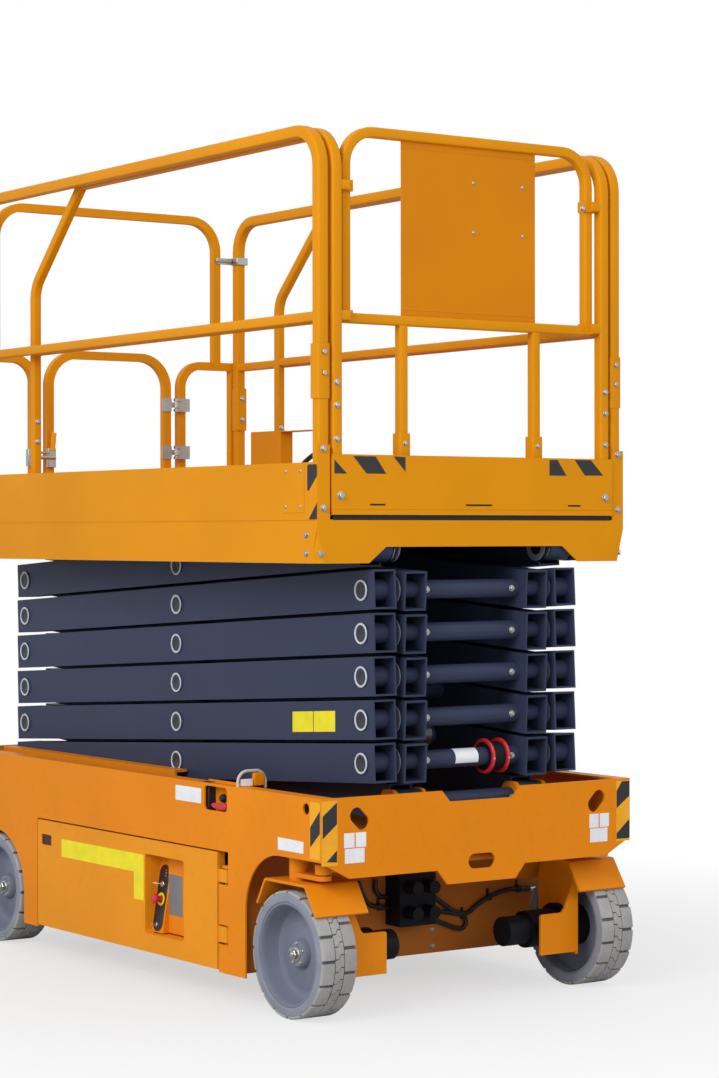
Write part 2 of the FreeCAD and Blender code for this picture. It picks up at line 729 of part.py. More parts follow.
def make_knuckle():
    """A kingpin tube, a bent fender over the wheel, and the plate and guards that carry the motor."""
    body = new_body("Knuckle")
    pad(body, "KingTube", "plan", [circle(d.king_x, king_y, d.king_radius)], 400, d.arch_front_top - 1)
    pad(body, "KingPin", "plan", [circle(d.king_x, king_y, d.king_pin)],
        d.arch_front_top - 2, under_tray - 2)
    carrier_low, carrier_high = carrier_y, carrier_y + d.carrier_sheet
    fender = [
        (882, 330), (928, 408, 14), (1146, 408, 14), (1206, 320),
        (1199, 315), (1142, 400, 8), (932, 400, 8), (889, 325),
    ]
    pad(body, "Fender", "side", [fender], -1 * d.track_outer + 3, carrier_high + 33)
    carrier = [(959, 118), (1141, 112), (1141, 330), (1110, 404), (970, 404), (955, 340)]
    neck = circle(d.front_axle, d.wheel_radius, d.motor_neck + d.seat_gap)
    pad(body, "Carrier", "side", [carrier, neck], carrier_low, carrier_high)
    guard_in, guard_bend = carrier_high + 142, carrier_high + 53
    guard = [
        (guard_in, 120), (guard_in, 247, 8), (guard_bend, 247, 20), (guard_bend - 40, 330),
        (guard_bend - 40, 404), (carrier_high - 8, 404), (carrier_high - 8, 120),
    ]
    pad(body, "FrontGuard", "end", [guard], 1137, 1145)
    arm = [box(d.king_x - 24, d.link_x + 24, king_y - 24, king_y + 24, 20)]
    pad(body, "SteerArm", "plan", arm, 418, 432)
    pad(body, "LinkPin", "plan", [circle(d.link_x, king_y, d.link_pin)], 431, 472)
    return part("knuckle_right", body)


def make_drive_motor():
    """A hydraulic wheel motor: its gear case faces the wheel, its body reaches inboard."""
    body = new_body("DriveMotor")
    wheel_back = d.track_outer - d.dish_depth - d.disc_thick
    carrier_high = carrier_y + d.carrier_sheet
    for name, radius, low, high in (
        ("Gear", 66, -1 * wheel_back + d.seat_gap, carrier_y),
        ("Neck", d.motor_neck, carrier_y - 1, carrier_high + 1),
        ("Flange", 74, carrier_high, carrier_high + 18),
        ("Case", 58, carrier_high + 17, carrier_high + 138),
        ("Cap", 46, carrier_high + 137, carrier_high + 223),
    ):
        pad(body, name, "side", [circle(d.front_axle, d.wheel_radius, radius)], low, high)
    return part("drive_motor_right", body)


def make_tie_rod():
    body = new_body("TieRod")
    pad(body, "Bar", "side", [circle(d.link_x, 451, 13)], king_y + 20, -1 * king_y - 20)
    for i, side in enumerate((king_y, -1 * king_y)):
        pad(body, f"Eye{i}", "plan", [circle(d.link_x, side, 24)], 436, 466)
    for i, side in enumerate((king_y, -1 * king_y)):
        pocket(body, f"EyeBore{i}", "plan", [circle(d.link_x, side, d.link_pin + 0.05)], 435, 467)
    return part("tie_rod", body)


BLOCKS = 16


def around_wheel(body, features):
    """Repeats features of a wheel piece at each block of the tread."""
    pattern = body.newObject("PartDesign::PolarPattern", "Around")
    pattern.Originals = features
    axis = [f for f in body.Origin.OriginFeatures if f.Role == "Y_Axis"][0]
    pattern.Axis = (axis, [""])
    pattern.Angle = 360
    pattern.Occurrences = BLOCKS
    body.Tip = pattern
    return pattern


def make_tyre():
    """A solid tyre: two rows of shoulder blocks, half a block apart, beside a narrow middle band."""
    body = new_body("Tyre")
    outer, inner = -1 * d.track_outer, -1 * (d.track_outer - d.wheel_width)
    pad(body, "Ring", "side",
        [circle(0, 0, d.wheel_radius), circle(0, 0, d.rim_radius)], outer, inner)
    floor = d.wheel_radius - d.tread_depth
    cut = box(-1 * d.groove_width / 2, d.groove_width / 2, floor, d.wheel_radius + 2)
    half_block = math.pi / BLOCKS
    aside, upright = math.sin(half_block), math.cos(half_block)
    turned_cut = [(up * aside + across * upright, up * upright - across * aside) for across, up, _ in cut]
    grooves = [
        pocket(body, "OuterGroove", "side", [cut], outer - 1, outer + d.shoulder),
        pocket(body, "InnerGroove", "side", [turned_cut], inner - d.shoulder, inner + 1),
    ]
    around_wheel(body, grooves)
    return body


def make_rim():
    """A dished disc rim: seat, dish and hub in one revolved section."""
    body = new_body("Rim")
    outer, inner = -1 * d.track_outer, -1 * (d.track_outer - d.wheel_width)
    floor = outer + d.dish_depth
    lip = d.rim_radius - 6
    half = [
        (outer + 4, d.rim_radius), (inner - 4, d.rim_radius), (inner - 4, lip), (floor + d.disc_thick, lip),
        (floor + d.disc_thick, 0), (floor - 26, 0), (floor - 26, d.hub_radius - 6), (floor - 20, d.hub_radius),
        (floor, d.hub_radius), (floor, d.dish_radius - 10), (floor - 12, d.dish_radius),
        (outer + 4, d.dish_radius + 8),
    ]
    # the section is drawn in plan, with the wheel's axle along Y
    section = [(radius, across) for across, radius in half]
    sketch = drawing(body, "Section", "plan", [section], 0)
    turn = body.newObject("PartDesign::Revolution", "Dish")
    turn.Profile = sketch
    turn.ReferenceAxis = (sketch, ["V_Axis"])
    turn.Angle = 360
    return body


def placed(name, thing, x, flip):
    """A copy of a wheel piece, moved to its axle, and to the left side if asked."""
    link = doc.addObject("Part::Compound", name)
    link.Links = [thing]
    shift = V(value_of(x), 0, d.wheel_radius.value)
    link.Placement = FreeCAD.Placement(shift, FreeCAD.Rotation())
    link.setExpression("Placement.Base.x", x.formula)
    link.setExpression("Placement.Base.z", d.wheel_radius.formula)
    return mirrored(name + "_left", link) if flip else link


def make_wheels():
    tyre, rim = make_tyre(), make_rim()
    for end, x in (("front", d.front_axle), ("rear", d.rear_axle)):
        for side, flip in (("right", False), ("left", True)):
            part(f"tyre_{end}_{side}", placed(f"Tyre_{end}_{side}", tyre, x, flip))
            part(f"rim_{end}_{side}", placed(f"Rim_{end}_{side}", rim, x, flip))


# Scissor stack

LEVELS = 6
arm_run = d.pin_front - d.pin_rear
arm_span = Size(math.hypot(d.row_step.value, arm_run.value),
                f"sqrt({d.row_step.formula}^2 + {arm_run.formula}^2)")
arm_slope = Size(math.degrees(math.atan2(d.row_step.value, arm_run.value)),
                 f"atan({d.row_step.formula} / {arm_run.formula})")


def row_height(row):
    return d.arm_low_row + d.row_step * row


def hollow_tube(body, name, low_y, past_front):
    """An arm's open-ended tube along X, with its rear pin at the origin."""
    half, wall = d.arm_height / 2, d.arm_wall
    section = [
        box(low_y, low_y + d.arm_width, -1 * half, half),
        box(low_y + wall, low_y + d.arm_width - wall, -1 * half + wall, half - wall),
    ]
    return pad(body, name, "end", section, -1 * d.arm_overhang, arm_span + past_front)


def inclined(name, thing, level, rises_to_front):
    """A piece laid along X, moved to its level and tilted to the lowered arms' slope."""
    copy = doc.addObject("Part::Compound", name)
    copy.Links = [thing]
    tilt = -1 * arm_slope if rises_to_front else arm_slope
    height = row_height(level - 1 if rises_to_front else level)
    turn = FreeCAD.Rotation(V(0, 1, 0), tilt.value)
    copy.Placement = FreeCAD.Placement(V(d.pin_rear.value, 0, height.value), turn)
    copy.setExpression("Placement.Base.x", d.pin_rear.formula)
    copy.setExpression("Placement.Base.z", height.formula)
    copy.setExpression("Placement.Rotation.Angle", tilt.formula)
    return copy


STATIONS = (("rear", 0), ("mid", arm_span / 2), ("front", arm_span))


def nose(body, low_y):
    """The rounded end of an arm that turns close to a front plate."""
    return pad(body, "Nose", "side", [circle(arm_span, 0, d.nose_radius)], low_y, low_y + d.arm_width)


def outer_arm(name, roller=False, round_front=False):
    """An outer arm with a bearing ring at each pin. The lowest one's rear pin carries a roller instead."""
    body = new_body(name)
    face = -1 * d.outer_face
    hollow_tube(body, "Tube", face, -1 * d.nose_back if round_front else d.arm_overhang)
    if round_front:
        nose(body, face)
    low, high = face - d.boss_out, face + d.arm_width + 2
    for place, x in STATIONS:
        pad(body, place + "Ring", "side", [circle(x, 0, d.boss_radius)], low, high)
    for place, x in STATIONS[1:] if roller else STATIONS:
        pocket(body, place + "Bore", "side", [circle(x, 0, d.pin_radius + d.pin_play)], low - 1, high + 1)
    return body


def make_roller():
    """A slide roller on its stub, seated on the lowest outer arm's rear ring."""
    body = new_body("Roller")
    low = -1 * d.outer_face - d.boss_out
    high = -1 * d.outer_face - 6
    pad(body, "Stub", "side", [circle(0, 0, d.pin_radius)], high - 1, low)
    pad(body, "Wheel", "side", [circle(0, 0, d.shoe_high / 2)], high - d.shoe_wide, high)
    return body


def inner_frame(name, front_reach, rear_tube=True, round_front=False):
    """Two inner arms, with the cross tubes between them and the pins that the outer arms turn on."""
    body = new_body(name)
    inside = d.inner_face - d.arm_width
    face = -1 * d.inner_face
    reach = d.outer_face + d.boss_out - 2
    pin_end = -1 * inside - 1
    middle = [circle(arm_span / 2, 0, d.pin_radius)]
    rear = [circle(0, 0, d.pin_radius)]
    front = [circle(arm_span, 0, d.pin_radius)]
    sides = [
        hollow_tube(body, "Tube", face, -1 * d.nose_back if round_front else d.arm_overhang),
        pad(body, "MidPin", "side", middle, -1 * reach, -1 * inside + 4),
        pad(body, "FrontPin", "side", front, -1 * front_reach, pin_end),
    ]
    if round_front:
        sides.append(nose(body, face))
    if rear_tube:
        sides.append(pad(body, "RearPin", "side", rear, -1 * reach, pin_end))
    else:
        shoe_low = -1 * inside + 6
        shoe = [circle(0, 0, d.shoe_high / 2)]
        sides.append(pad(body, "ShoePin", "side", rear, face, shoe_low + 1))
        sides.append(pad(body, "Shoe", "side", shoe, shoe_low, shoe_low + d.shoe_wide))
    both_sides(body, sides)
    tube_end = inside + 2
    pad(body, "FrontTube", "side", [circle(arm_span, 0, d.tube_radius)], -1 * tube_end, tube_end)
    if rear_tube:
        pad(body, "RearTube", "side", [circle(0, 0, d.tube_radius)], -1 * tube_end, tube_end)
    return body


# The cylinder's pins in a frame that lies along X, with its rear pin at the origin
foot_at = (arm_span - d.foot_reach, -1 * d.foot_drop)
eye_at = (arm_span - d.eye_reach, -1 * d.eye_drop)
bracket_at = (arm_span - d.bracket_reach, d.bracket_rise)


def add_cylinder_foot(body):
    """The cross tube that the cylinder's barrel turns on."""
    tube_end = d.inner_face - d.arm_width + 2
    pad(body, "FootTube", "side", [circle(*foot_at, d.tube_radius)], -1 * tube_end, tube_end)


def add_cylinder_bracket(body):
    """A cross tube with two lugs that reach down to the cylinder's rod, one on each side of its eye."""
    tube_end = d.inner_face - d.arm_width + 2
    gap = d.eye_half + 6
    run, fall = eye_at[0] - bracket_at[0], eye_at[1] - bracket_at[1]
    length = math.hypot(run.value, fall.value)
    aside, ahead = 30 * -fall.value / length, 30 * run.value / length
    tip_out = 32 / length
    lug = [
        (bracket_at[0] - aside, bracket_at[1] - ahead, 8),
        (eye_at[0] - aside + run * tip_out, eye_at[1] - ahead + fall * tip_out, 26),
        (eye_at[0] + aside + run * tip_out, eye_at[1] + ahead + fall * tip_out, 26),
        (bracket_at[0] + aside, bracket_at[1] + ahead, 8),
    ]
    pad(body, "BracketTube", "side", [circle(*bracket_at, d.bracket_radius)], -1 * tube_end, tube_end)
    for name, low in (("RightLug", -1 * gap - 14), ("LeftLug", gap)):
        pad(body, name, "side", [lug, circle(*eye_at, 20)], low, low + 14)


def make_scissors():
    """Six levels. The two outer arms of a level are one sub-part, and so is the inner frame."""
    outer = outer_arm("OuterArm")
    reach = d.outer_face + d.boss_out - 2
    arms = {
        1: outer_arm("LowestOuterArm", roller=True),
        LEVELS: outer_arm("TopOuterArm", round_front=True),
    }
    frames = {
        1: inner_frame("LowestInnerFrame", d.inner_face + 22, round_front=True),
        3: inner_frame("BracketInnerFrame", reach),
        LEVELS: inner_frame("TopInnerFrame", reach, rear_tube=False),
    }
    add_cylinder_foot(frames[1])
    add_cylinder_bracket(frames[3])
    middle = inner_frame("InnerFrame", reach)
    for level in range(1, LEVELS + 1):
        arm = inclined(f"OuterArm{level}", arms.get(level, outer), level, True)
        pair(f"outer_arms_{level}", arm)
        frame = inclined(f"InnerFrame{level}", frames.get(level, middle), level, False)
        part(f"inner_arms_{level}", frame)
    pair("slide_rollers", inclined("SlideRoller", make_roller(), 1, True))


# Lift cylinder

arm_cos = arm_run / arm_span
arm_sin = d.row_step / arm_span


def on_inner_frame(level, reach, rise):
    """Where a point of a lowered inner frame lies: its place along the machine and its height."""
    across = d.pin_front - arm_cos * reach + arm_sin * rise
    up = row_height(level - 1) + arm_sin * reach + arm_cos * rise
    return across, up


foot_x, foot_z = on_inner_frame(1, d.foot_reach, -1 * d.foot_drop)
eye_x, eye_z = on_inner_frame(3, d.eye_reach, -1 * d.eye_drop)
lift_run, lift_rise = eye_x - foot_x, eye_z - foot_z
lift_closed = Size(math.hypot(lift_run.value, lift_rise.value),
                   f"sqrt({lift_run.formula}^2 + {lift_rise.formula}^2)")
lift_slope = Size(math.degrees(math.atan2(lift_rise.value, lift_run.value)),
                  f"atan({lift_rise.formula} / {lift_run.formula})")


def leaning(name, thing):
    """A piece of the cylinder laid along X, moved to its lower pin and tilted to its slope."""
    copy = doc.addObject("Part::Compound", name)
    copy.Links = [thing]
    copy.Placement = FreeCAD.Placement(
        V(foot_x.value, 0, foot_z.value), FreeCAD.Rotation(V(0, 1, 0), -1 * lift_slope.value))
    copy.setExpression("Placement.Base.x", foot_x.formula)
    copy.setExpression("Placement.Base.z", foot_z.formula)
    copy.setExpression("Placement.Rotation.Angle", f"-1 * {lift_slope.formula}")
    return copy


def make_cylinder():
    barrel = new_body("Barrel")
    pad(barrel, "Foot", "side", [circle(0, 0, 48)], -40, 40)
    pad(barrel, "Barrel", "end", [circle(0, 0, d.barrel_radius)], 34, d.barrel_long - 60)
    pad(barrel, "Gland", "end", [circle(0, 0, d.barrel_radius + 6)], d.barrel_long - 61, d.barrel_long)
    pocket(barrel, "FootBore", "side", [circle(0, 0, d.tube_radius + d.pin_play)], -41, 41)
    pocket(barrel, "RodBore", "end", [circle(0, 0, d.rod_radius + d.pin_play)], 90, d.barrel_long + 1)
    part("lift_barrel", leaning("LiftBarrel", barrel))
    rod = new_body("Rod")
    pad(rod, "Rod", "end", [circle(0, 0, d.rod_radius)], 110, lift_closed - d.eye_radius + 6)
    pad(rod, "Eye", "side", [circle(lift_closed, 0, d.eye_radius)], -1 * d.eye_half, d.eye_half)
    part("lift_rod", leaning("LiftRod", rod))


# Platform

top_row = row_height(LEVELS)


def make_deck():
    """The platform's floor, folded frame and toe boards, with the ears that hold the top arms."""
    body = new_body("Deck")
    inner = d.deck_half - d.deck_sheet
    front = d.deck_front - d.deck_sheet
    rear = d.deck_rear + d.deck_sheet
    corner = d.deck_seam - 26
    band_side = [
        (rear, d.deck_low), (front - 30, d.deck_low), (front, corner), (front, d.deck_seam + 2),
        (rear, d.deck_seam + 2),
    ]
    toe_side = box(rear, front, d.deck_seam, d.toe_top)
    mirrored_pads = [
        pad(body, "SideBand", "side", [band_side], -1 * inner + 2 - d.deck_sheet, -1 * inner + 2),
        pad(body, "SideToeBoard", "side", [toe_side], -1 * d.deck_half, -1 * inner),
    ]
    pad(body, "Floor", "plan", [box(rear, front, -1 * inner, inner)], d.deck_floor - d.deck_sheet, d.deck_floor)
    front_band = [
        (-559, d.deck_low), (-1 * d.notch_low_half, d.deck_low), (-1 * d.notch_top_half, d.notch_top),
        (d.notch_top_half, d.notch_top), (d.notch_low_half, d.deck_low), (559, d.deck_low),
        (d.deck_half, corner), (d.deck_half, d.deck_seam + 2), (-1 * d.deck_half, d.deck_seam + 2),
        (-1 * d.deck_half, corner),
    ]
    pad(body, "FrontBand", "end", [front_band], front, d.deck_front)
    pad(body, "FrontLip", "plan", [box(front - 24, d.deck_front, -1 * inner, inner)],
        d.deck_seam, d.deck_seam + 2)
    pad(body, "FrontRiser", "end", [box(-1 * inner, inner, d.deck_seam, d.deck_floor - 1)], front - 24, front - 20)
    rear_toe = box(-1 * d.deck_half, -1 * d.gate_half - 14, d.deck_low, d.toe_top)
    mirrored_pads.append(pad(body, "RearToeBoard", "end", [rear_toe], d.deck_rear, rear))
    pad(body, "RearBand", "end", [box(-1 * d.deck_half, d.deck_half, d.deck_low, d.deck_floor)], d.deck_rear, rear)
    corner_plate = box(-1 * d.deck_half, -1 * d.slide_half - 5, d.deck_seam, 1702)
    mirrored_pads.append(pad(body, "CornerPlate", "end", [corner_plate], front, d.deck_front))
    ear = [
        (d.pin_front - 70, d.deck_floor - d.deck_sheet), (d.pin_front - 50, top_row - 20, 24),
        (d.pin_front - 22, top_row - 46, 24), (d.pin_front + 22, top_row - 46, 24),
        (front, top_row + 10, 10), (front, d.deck_floor - d.deck_sheet),
    ]
    arm_in = d.outer_face - d.arm_width
    for name, low in (("InnerEar", -1 * arm_in + 4), ("OuterEar", -1 * d.outer_face - d.boss_out - 16)):
        mirrored_pads.append(pad(body, name, "side", [ear], low, low + 12))
    pin = [circle(d.pin_front, top_row, d.pin_radius)]
    mirrored_pads.append(pad(body, "EarPin", "side", pin, -1 * d.outer_face - d.boss_out - 18, -1 * arm_in + 18))
    both_sides(body, mirrored_pads)
    return part("deck", body)


def make_deck_tracks():
    """Channels under the platform, open outwards, for the shoes of the top inner arms."""
    body = new_body("DeckTrack")
    face = -1 * (d.inner_face - d.arm_width) + 5
    wide = d.shoe_wide + d.shoe_play + 1
    low = top_row - d.shoe_high / 2 - d.shoe_play
    high = top_row + d.shoe_high / 2 + d.shoe_play
    wall = d.track_wall
    under = d.deck_floor - d.deck_sheet
    channel = [
        (face, low), (face, low - wall), (face + wide + wall, low - wall), (face + wide + wall, under),
        (face + wide, under), (face + wide, high + wall), (face, high + wall), (face, high),
        (face + wide, high), (face + wide, low),
    ]
    pad(body, "Channel", "end", [channel], d.track_rear, d.track_front)
    return pair("deck_tracks", body)


def make_side_rail():
    """A side rail: bent top tube and posts, middle rail and the kinked brace."""
    body = new_body("SideRail")
    low = -1 * (d.deck_half - d.rail_in)
    high = low + d.tube
    front = d.deck_front - d.deck_sheet
    thin_low = low + (d.tube - d.thin_tube) / 2
    thin_high = thin_low + d.thin_tube
    pad(body, "Arch", "side",
        [arch(d.rail_rear, front, d.deck_floor, d.rail_top, d.tube, d.rail_bend)], low, high)
    half = d.thin_tube / 2
    pad(body, "MidRail", "side",
        [box(d.rail_rear + d.tube - 1, front - d.tube + 1, d.mid_rail - half, d.mid_rail + half)],
        thin_low, thin_high)
    brace = [
        (d.brace_x, d.deck_floor), (d.brace_x, d.brace_kink, 60), (d.brace_top_x, d.rail_top - d.tube + 1),
        (d.brace_top_x + 44, d.rail_top - d.tube + 1), (d.brace_x + d.thin_tube, d.brace_kink - 13, 30),
        (d.brace_x + d.thin_tube, d.deck_floor),
    ]
    pad(body, "Brace", "side", [brace], thin_low, thin_high)
    sleeve = [box(front - d.tube - 6, front, 1838, 2000)]
    pad(body, "Sleeve", "side", sleeve, low - 4, high)
    return part("side_rail_right", body)


def make_rear_rail():
    """Two lower frames beside the gate, and the top frame that stands on them."""
    body = new_body("RearRail")
    back, face = d.rear_frame - d.thin_tube, d.rear_frame
    low_frame = [
        (-1 * d.low_rail_out, d.deck_floor), (-1 * d.low_rail_out, d.low_rail_top, 8),
        (-1 * d.low_rail_in, d.low_rail_top, 100), (-1 * d.low_rail_in, d.deck_floor),
    ]
    hole_out = d.low_rail_out - d.thin_tube
    hole_in = d.low_rail_in + d.thin_tube
    hole_top = d.low_rail_top - d.thin_tube
    hole = [
        (-1 * hole_out, d.toe_top), (-1 * hole_out, hole_top, 4),
        (-1 * hole_in, hole_top, 70), (-1 * hole_in, d.toe_top),
    ]
    frame = pad(body, "LowFrame", "end", [low_frame, hole], back, face)
    both_sides(body, [frame])
    top = arch(-1 * d.rear_half, d.rear_half, d.low_rail_top - 1, d.rail_top, d.thin_tube, d.rail_bend)
    pad(body, "TopFrame", "end", [top], back, face)
    return part("rear_rail", body)


GATE_HINGES = (1725, 1905)


def make_gate():
    """A half-height gate with a kick plate."""
    body = new_body("Gate")
    back, face = d.rear_frame - d.thin_tube, d.rear_frame
    outline = [
        (-1 * d.gate_half, d.gate_low), (d.gate_half, d.gate_low),
        (d.gate_half, d.gate_top, d.gate_bend), (-1 * d.gate_half, d.gate_top, d.gate_bend),
    ]
    inner_half = d.gate_half - d.thin_tube
    inner_bend = d.gate_bend - d.thin_tube
    hole_top = d.gate_top - d.thin_tube
    hole = [
        (-1 * inner_half, d.toe_top), (inner_half, d.toe_top),
        (inner_half, hole_top, inner_bend), (-1 * inner_half, hole_top, inner_bend),
    ]
    pad(body, "Frame", "end", [outline, hole], back, face)
    return part("gate", body)


def make_gate_hinges():
    """Plated hinges: a leaf and barrel on the gate, and a pin between two ears on the lower frame."""
    face = d.rear_frame
    leaves, ears = [], []
    for i, low in enumerate(GATE_HINGES):
        leaf = new_body(f"GateLeaf{i}")
        middle = low + 25
        pad(leaf, "Plate", "end", [box(d.gate_half - 40, d.gate_half, low, low + 50, 3)], face, face + 5)
        neck = [box(d.gate_half - 2, d.gate_hinge_y - 3, middle - 10, middle + 10)]
        pad(leaf, "Neck", "end", neck, face, face + 5)
        pad(leaf, "Barrel", "plan", [circle(d.gate_hinge_x, d.gate_hinge_y, 11)], middle - 10, middle + 10)
        pocket(leaf, "Bore", "plan",
               [circle(d.gate_hinge_x, d.gate_hinge_y, d.gate_pin + d.pin_play)], middle - 11, middle + 11)
        leaves.append(leaf)
        ear = new_body(f"GateEar{i}")
        pad(ear, "Pin", "plan", [circle(d.gate_hinge_x, d.gate_hinge_y, d.gate_pin)], low, low + 50)
        pad(ear, "Plate", "end", [box(d.low_rail_in + 1, d.low_rail_in + 46, low, low + 50, 3)], face, face + 5)
        for j, level in enumerate((low, low + 39)):
            arm = [box(face, d.gate_hinge_x + 8, d.gate_hinge_y - 8, d.low_rail_in + 12, 4)]
            pad(ear, f"Ear{j}", "plan", arm, level, level + 11)
        ears.append(ear)
    part("gate_leaves", group("GateLeaves", leaves))
    part("gate_hinges", group("GateHinges", ears))


def make_control_holder():
    """An open-backed holder for the platform's controls, standing on the floor at the left side."""
    body = new_body("ControlHolder")
    back, front, near, far = -705, -468, 392, 470
    floor, top = d.deck_floor, 1822
    pad(body, "Face", "side", [box(back, front, floor, top, 3)], near, near + 4)
    for i, x in enumerate((back, front - 4)):
        pad(body, f"End{i}", "end", [box(near + 3, far, floor, top)], x, x + 4)
    pad(body, "Top", "plan", [box(back, front, near, far)], top - 4, top)
    return part("control_holder", body)


def make_extension():
    """The sliding part of the platform: floor, strips it runs on, and toe boards."""
    body = new_body("Extension")
    back, front = d.slide_rear, d.slide_front - 6
    low = d.deck_floor + 5
    pad(body, "Floor", "plan", [box(back, front, -1 * d.slide_face, d.slide_face)], low, low + 5)
    strip = pad(body, "Strip", "plan", [box(back, front - 10, -490, -450)], d.deck_floor + d.seat_gap, low + 1)
    side = pad(body, "SideToe", "side", [box(back, front, low, d.toe_top)], -1 * d.slide_face, -1 * d.slide_face + 5)
    both_sides(body, [strip, side])
    pad(body, "ToeBoard", "end",
        [box(-1 * d.slide_half, d.slide_half, d.deck_floor - 3, d.front_toe_top)], front, d.slide_front)
    return part("extension_deck", body)


def make_extension_rails():
    """The rails on the extension: two side frames and the end frame with its legs."""
    body = new_body("ExtensionRails")
    low, high = -1 * d.slide_face, -1 * d.slide_face + d.tube
    top = d.rail_top - 4
    face = d.slide_rail_front
    floor = d.deck_floor + 10
    side_frame = [
        (face, floor), (face, top, d.rail_bend), (d.slide_rear + 20, top), (d.slide_rear + 20, top - d.tube),
        (face - d.tube, top - d.tube, d.rail_bend - d.tube), (face - d.tube, floor),
    ]
    rail = pad(body, "SideFrame", "side", [side_frame], low + 5, high)
    half = d.thin_tube / 2
    mid = pad(body, "MidRail", "side",
              [box(d.slide_rear + 20, face - d.tube + 1, d.mid_rail - half, d.mid_rail + half)],
              low + 5, high)
    rear_post = pad(body, "RearPost", "side",
                    [box(d.slide_rear + 20, d.slide_rear + 50, floor, top - 1)], low + 5, high)
    frame_back = d.front_frame - d.thin_tube
    edge = [
        (-1 * d.front_half, d.mid_rail - half), (d.front_half, d.mid_rail - half),
        (d.front_half, d.rail_top, d.front_bend), (-1 * d.front_half, d.rail_top, d.front_bend),
    ]
    wall = d.thin_tube + 2
    inner_half = d.front_half - wall
    opening = [
        (-1 * inner_half, d.mid_rail + half), (inner_half, d.mid_rail + half),
        (inner_half, d.rail_top - wall, d.front_bend - wall),
        (-1 * inner_half, d.rail_top - wall, d.front_bend - wall),
    ]
    clamps = []
    for i, level in enumerate((2085, 2470)):
        clamps.append(pad(body, f"Clamp{i}", "plan",
                          [box(face - d.tube + 1, face - 4, -1 * d.slide_face + 20, -1 * d.front_half + 20)],
                          level - 15, level + 15))
    leg = pad(body, "Leg", "side", [box(frame_back, d.front_frame, floor, d.mid_rail - half + 2)],
              -1 * d.leg_y - d.thin_tube / 2, -1 * d.leg_y + d.thin_tube / 2)
    both_sides(body, [rail, mid, rear_post, leg] + clamps)
    pad(body, "EndFrame", "end", [edge, opening], frame_back, d.front_frame)
    return part("extension_rails", body)


def make_end_panel():
    body = new_body("EndPanel")
    pad(body, "Sheet", "end",
        [box(-1 * d.panel_half, d.panel_half, d.panel_low, d.rail_top - 40, 4)],
        d.front_frame, d.front_frame + 3)
    return part("end_panel", body)


make_side_plates()
make_chassis()
make_front_plate()
make_beams()
make_axle_beam()
make_arm_ears()
make_valve_block()
make_tracks()
make_spindles()
make_ladder()
make_lifting_eyes()
make_hinge_pins()
make_door("door_right", True)
left_door = make_door("door_left", False)
part("door_left", mirrored("DoorLeft", left_door))
make_plain_block("hydraulic_unit", False)
make_plain_block("battery_pack", True)
knuckle = make_knuckle()
part("knuckle_left", mirrored("KnuckleLeft", knuckle))
motor = make_drive_motor()
part("drive_motor_left", mirrored("DriveMotorLeft", motor))
make_tie_rod()
make_wheels()
make_scissors()
make_cylinder()
make_deck()
make_deck_tracks()
side_rail = make_side_rail()
part("side_rail_left", mirrored("SideRailLeft", side_rail))
make_rear_rail()
make_gate()
make_gate_hinges()
make_control_holder()
make_extension()
make_extension_rails()
make_end_panel()

doc.recompute()
os.makedirs("parts", exist_ok=True)
for thing in doc.Objects:
    if "Invalid" in thing.State or "Error" in thing.State:
        raise RuntimeError(f"{thing.Label} failed: {thing.State}")
for thing in doc.Objects:
    if thing.TypeId == "PartDesign::Pad" and thing.BaseFeature:
        if not thing.Shape.Volume > thing.BaseFeature.Shape.Volume + 1:
            raise RuntimeError(f"{thing.Label} adds nothing")
for thing in PARTS:
    if thing.Shape.isNull() or not thing.Shape.isValid():
        raise RuntimeError(f"{thing.Label} has no valid shape")
for thing in PARTS:
    thing.Shape.exportStep(f"parts/{thing.Label}.step")
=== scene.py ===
"""Looks of the scissor lift: paints, tyre tread, fasteners, stripes, blank labels, controls and hoses.

Metres, in the machine's own frame: +X to the steered end, +Y to its left side, +Z up.
"""
import json
import math

import bmesh
import bpy
from mathutils import Matrix, Vector


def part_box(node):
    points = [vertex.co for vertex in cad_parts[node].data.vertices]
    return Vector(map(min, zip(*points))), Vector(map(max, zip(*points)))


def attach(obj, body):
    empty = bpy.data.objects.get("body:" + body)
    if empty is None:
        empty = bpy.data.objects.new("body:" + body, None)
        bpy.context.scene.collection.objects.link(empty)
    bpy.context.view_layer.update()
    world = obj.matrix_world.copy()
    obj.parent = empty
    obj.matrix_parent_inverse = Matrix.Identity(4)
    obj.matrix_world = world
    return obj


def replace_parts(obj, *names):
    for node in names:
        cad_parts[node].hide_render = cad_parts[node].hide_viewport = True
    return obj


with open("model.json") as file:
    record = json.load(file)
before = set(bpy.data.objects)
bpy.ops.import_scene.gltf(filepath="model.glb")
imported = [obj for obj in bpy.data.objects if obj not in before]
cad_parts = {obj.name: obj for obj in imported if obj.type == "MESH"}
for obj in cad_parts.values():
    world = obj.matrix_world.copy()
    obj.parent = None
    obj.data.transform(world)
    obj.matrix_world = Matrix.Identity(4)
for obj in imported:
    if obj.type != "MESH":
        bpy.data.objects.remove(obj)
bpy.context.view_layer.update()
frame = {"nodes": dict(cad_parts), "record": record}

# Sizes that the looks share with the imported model
CHASSIS_HALF = 0.5895
CHASSIS_FRONT = 1.229
DECK_FRONT = 1.203
DECK_HALF = 0.585
TOE_FRONT = 1.209
OUTER_FACE = 0.386
PIN_FRONT, PIN_REAR = 1.145, -0.990
LOW_ROW, ROW_STEP = 0.6263, 0.1292
WHEEL_RADIUS = 0.1905
HUB_DEPTH = 0.036
RIM_SEAT = 0.156
BULKHEAD = 0.800
RECESS_BACK = -0.4985

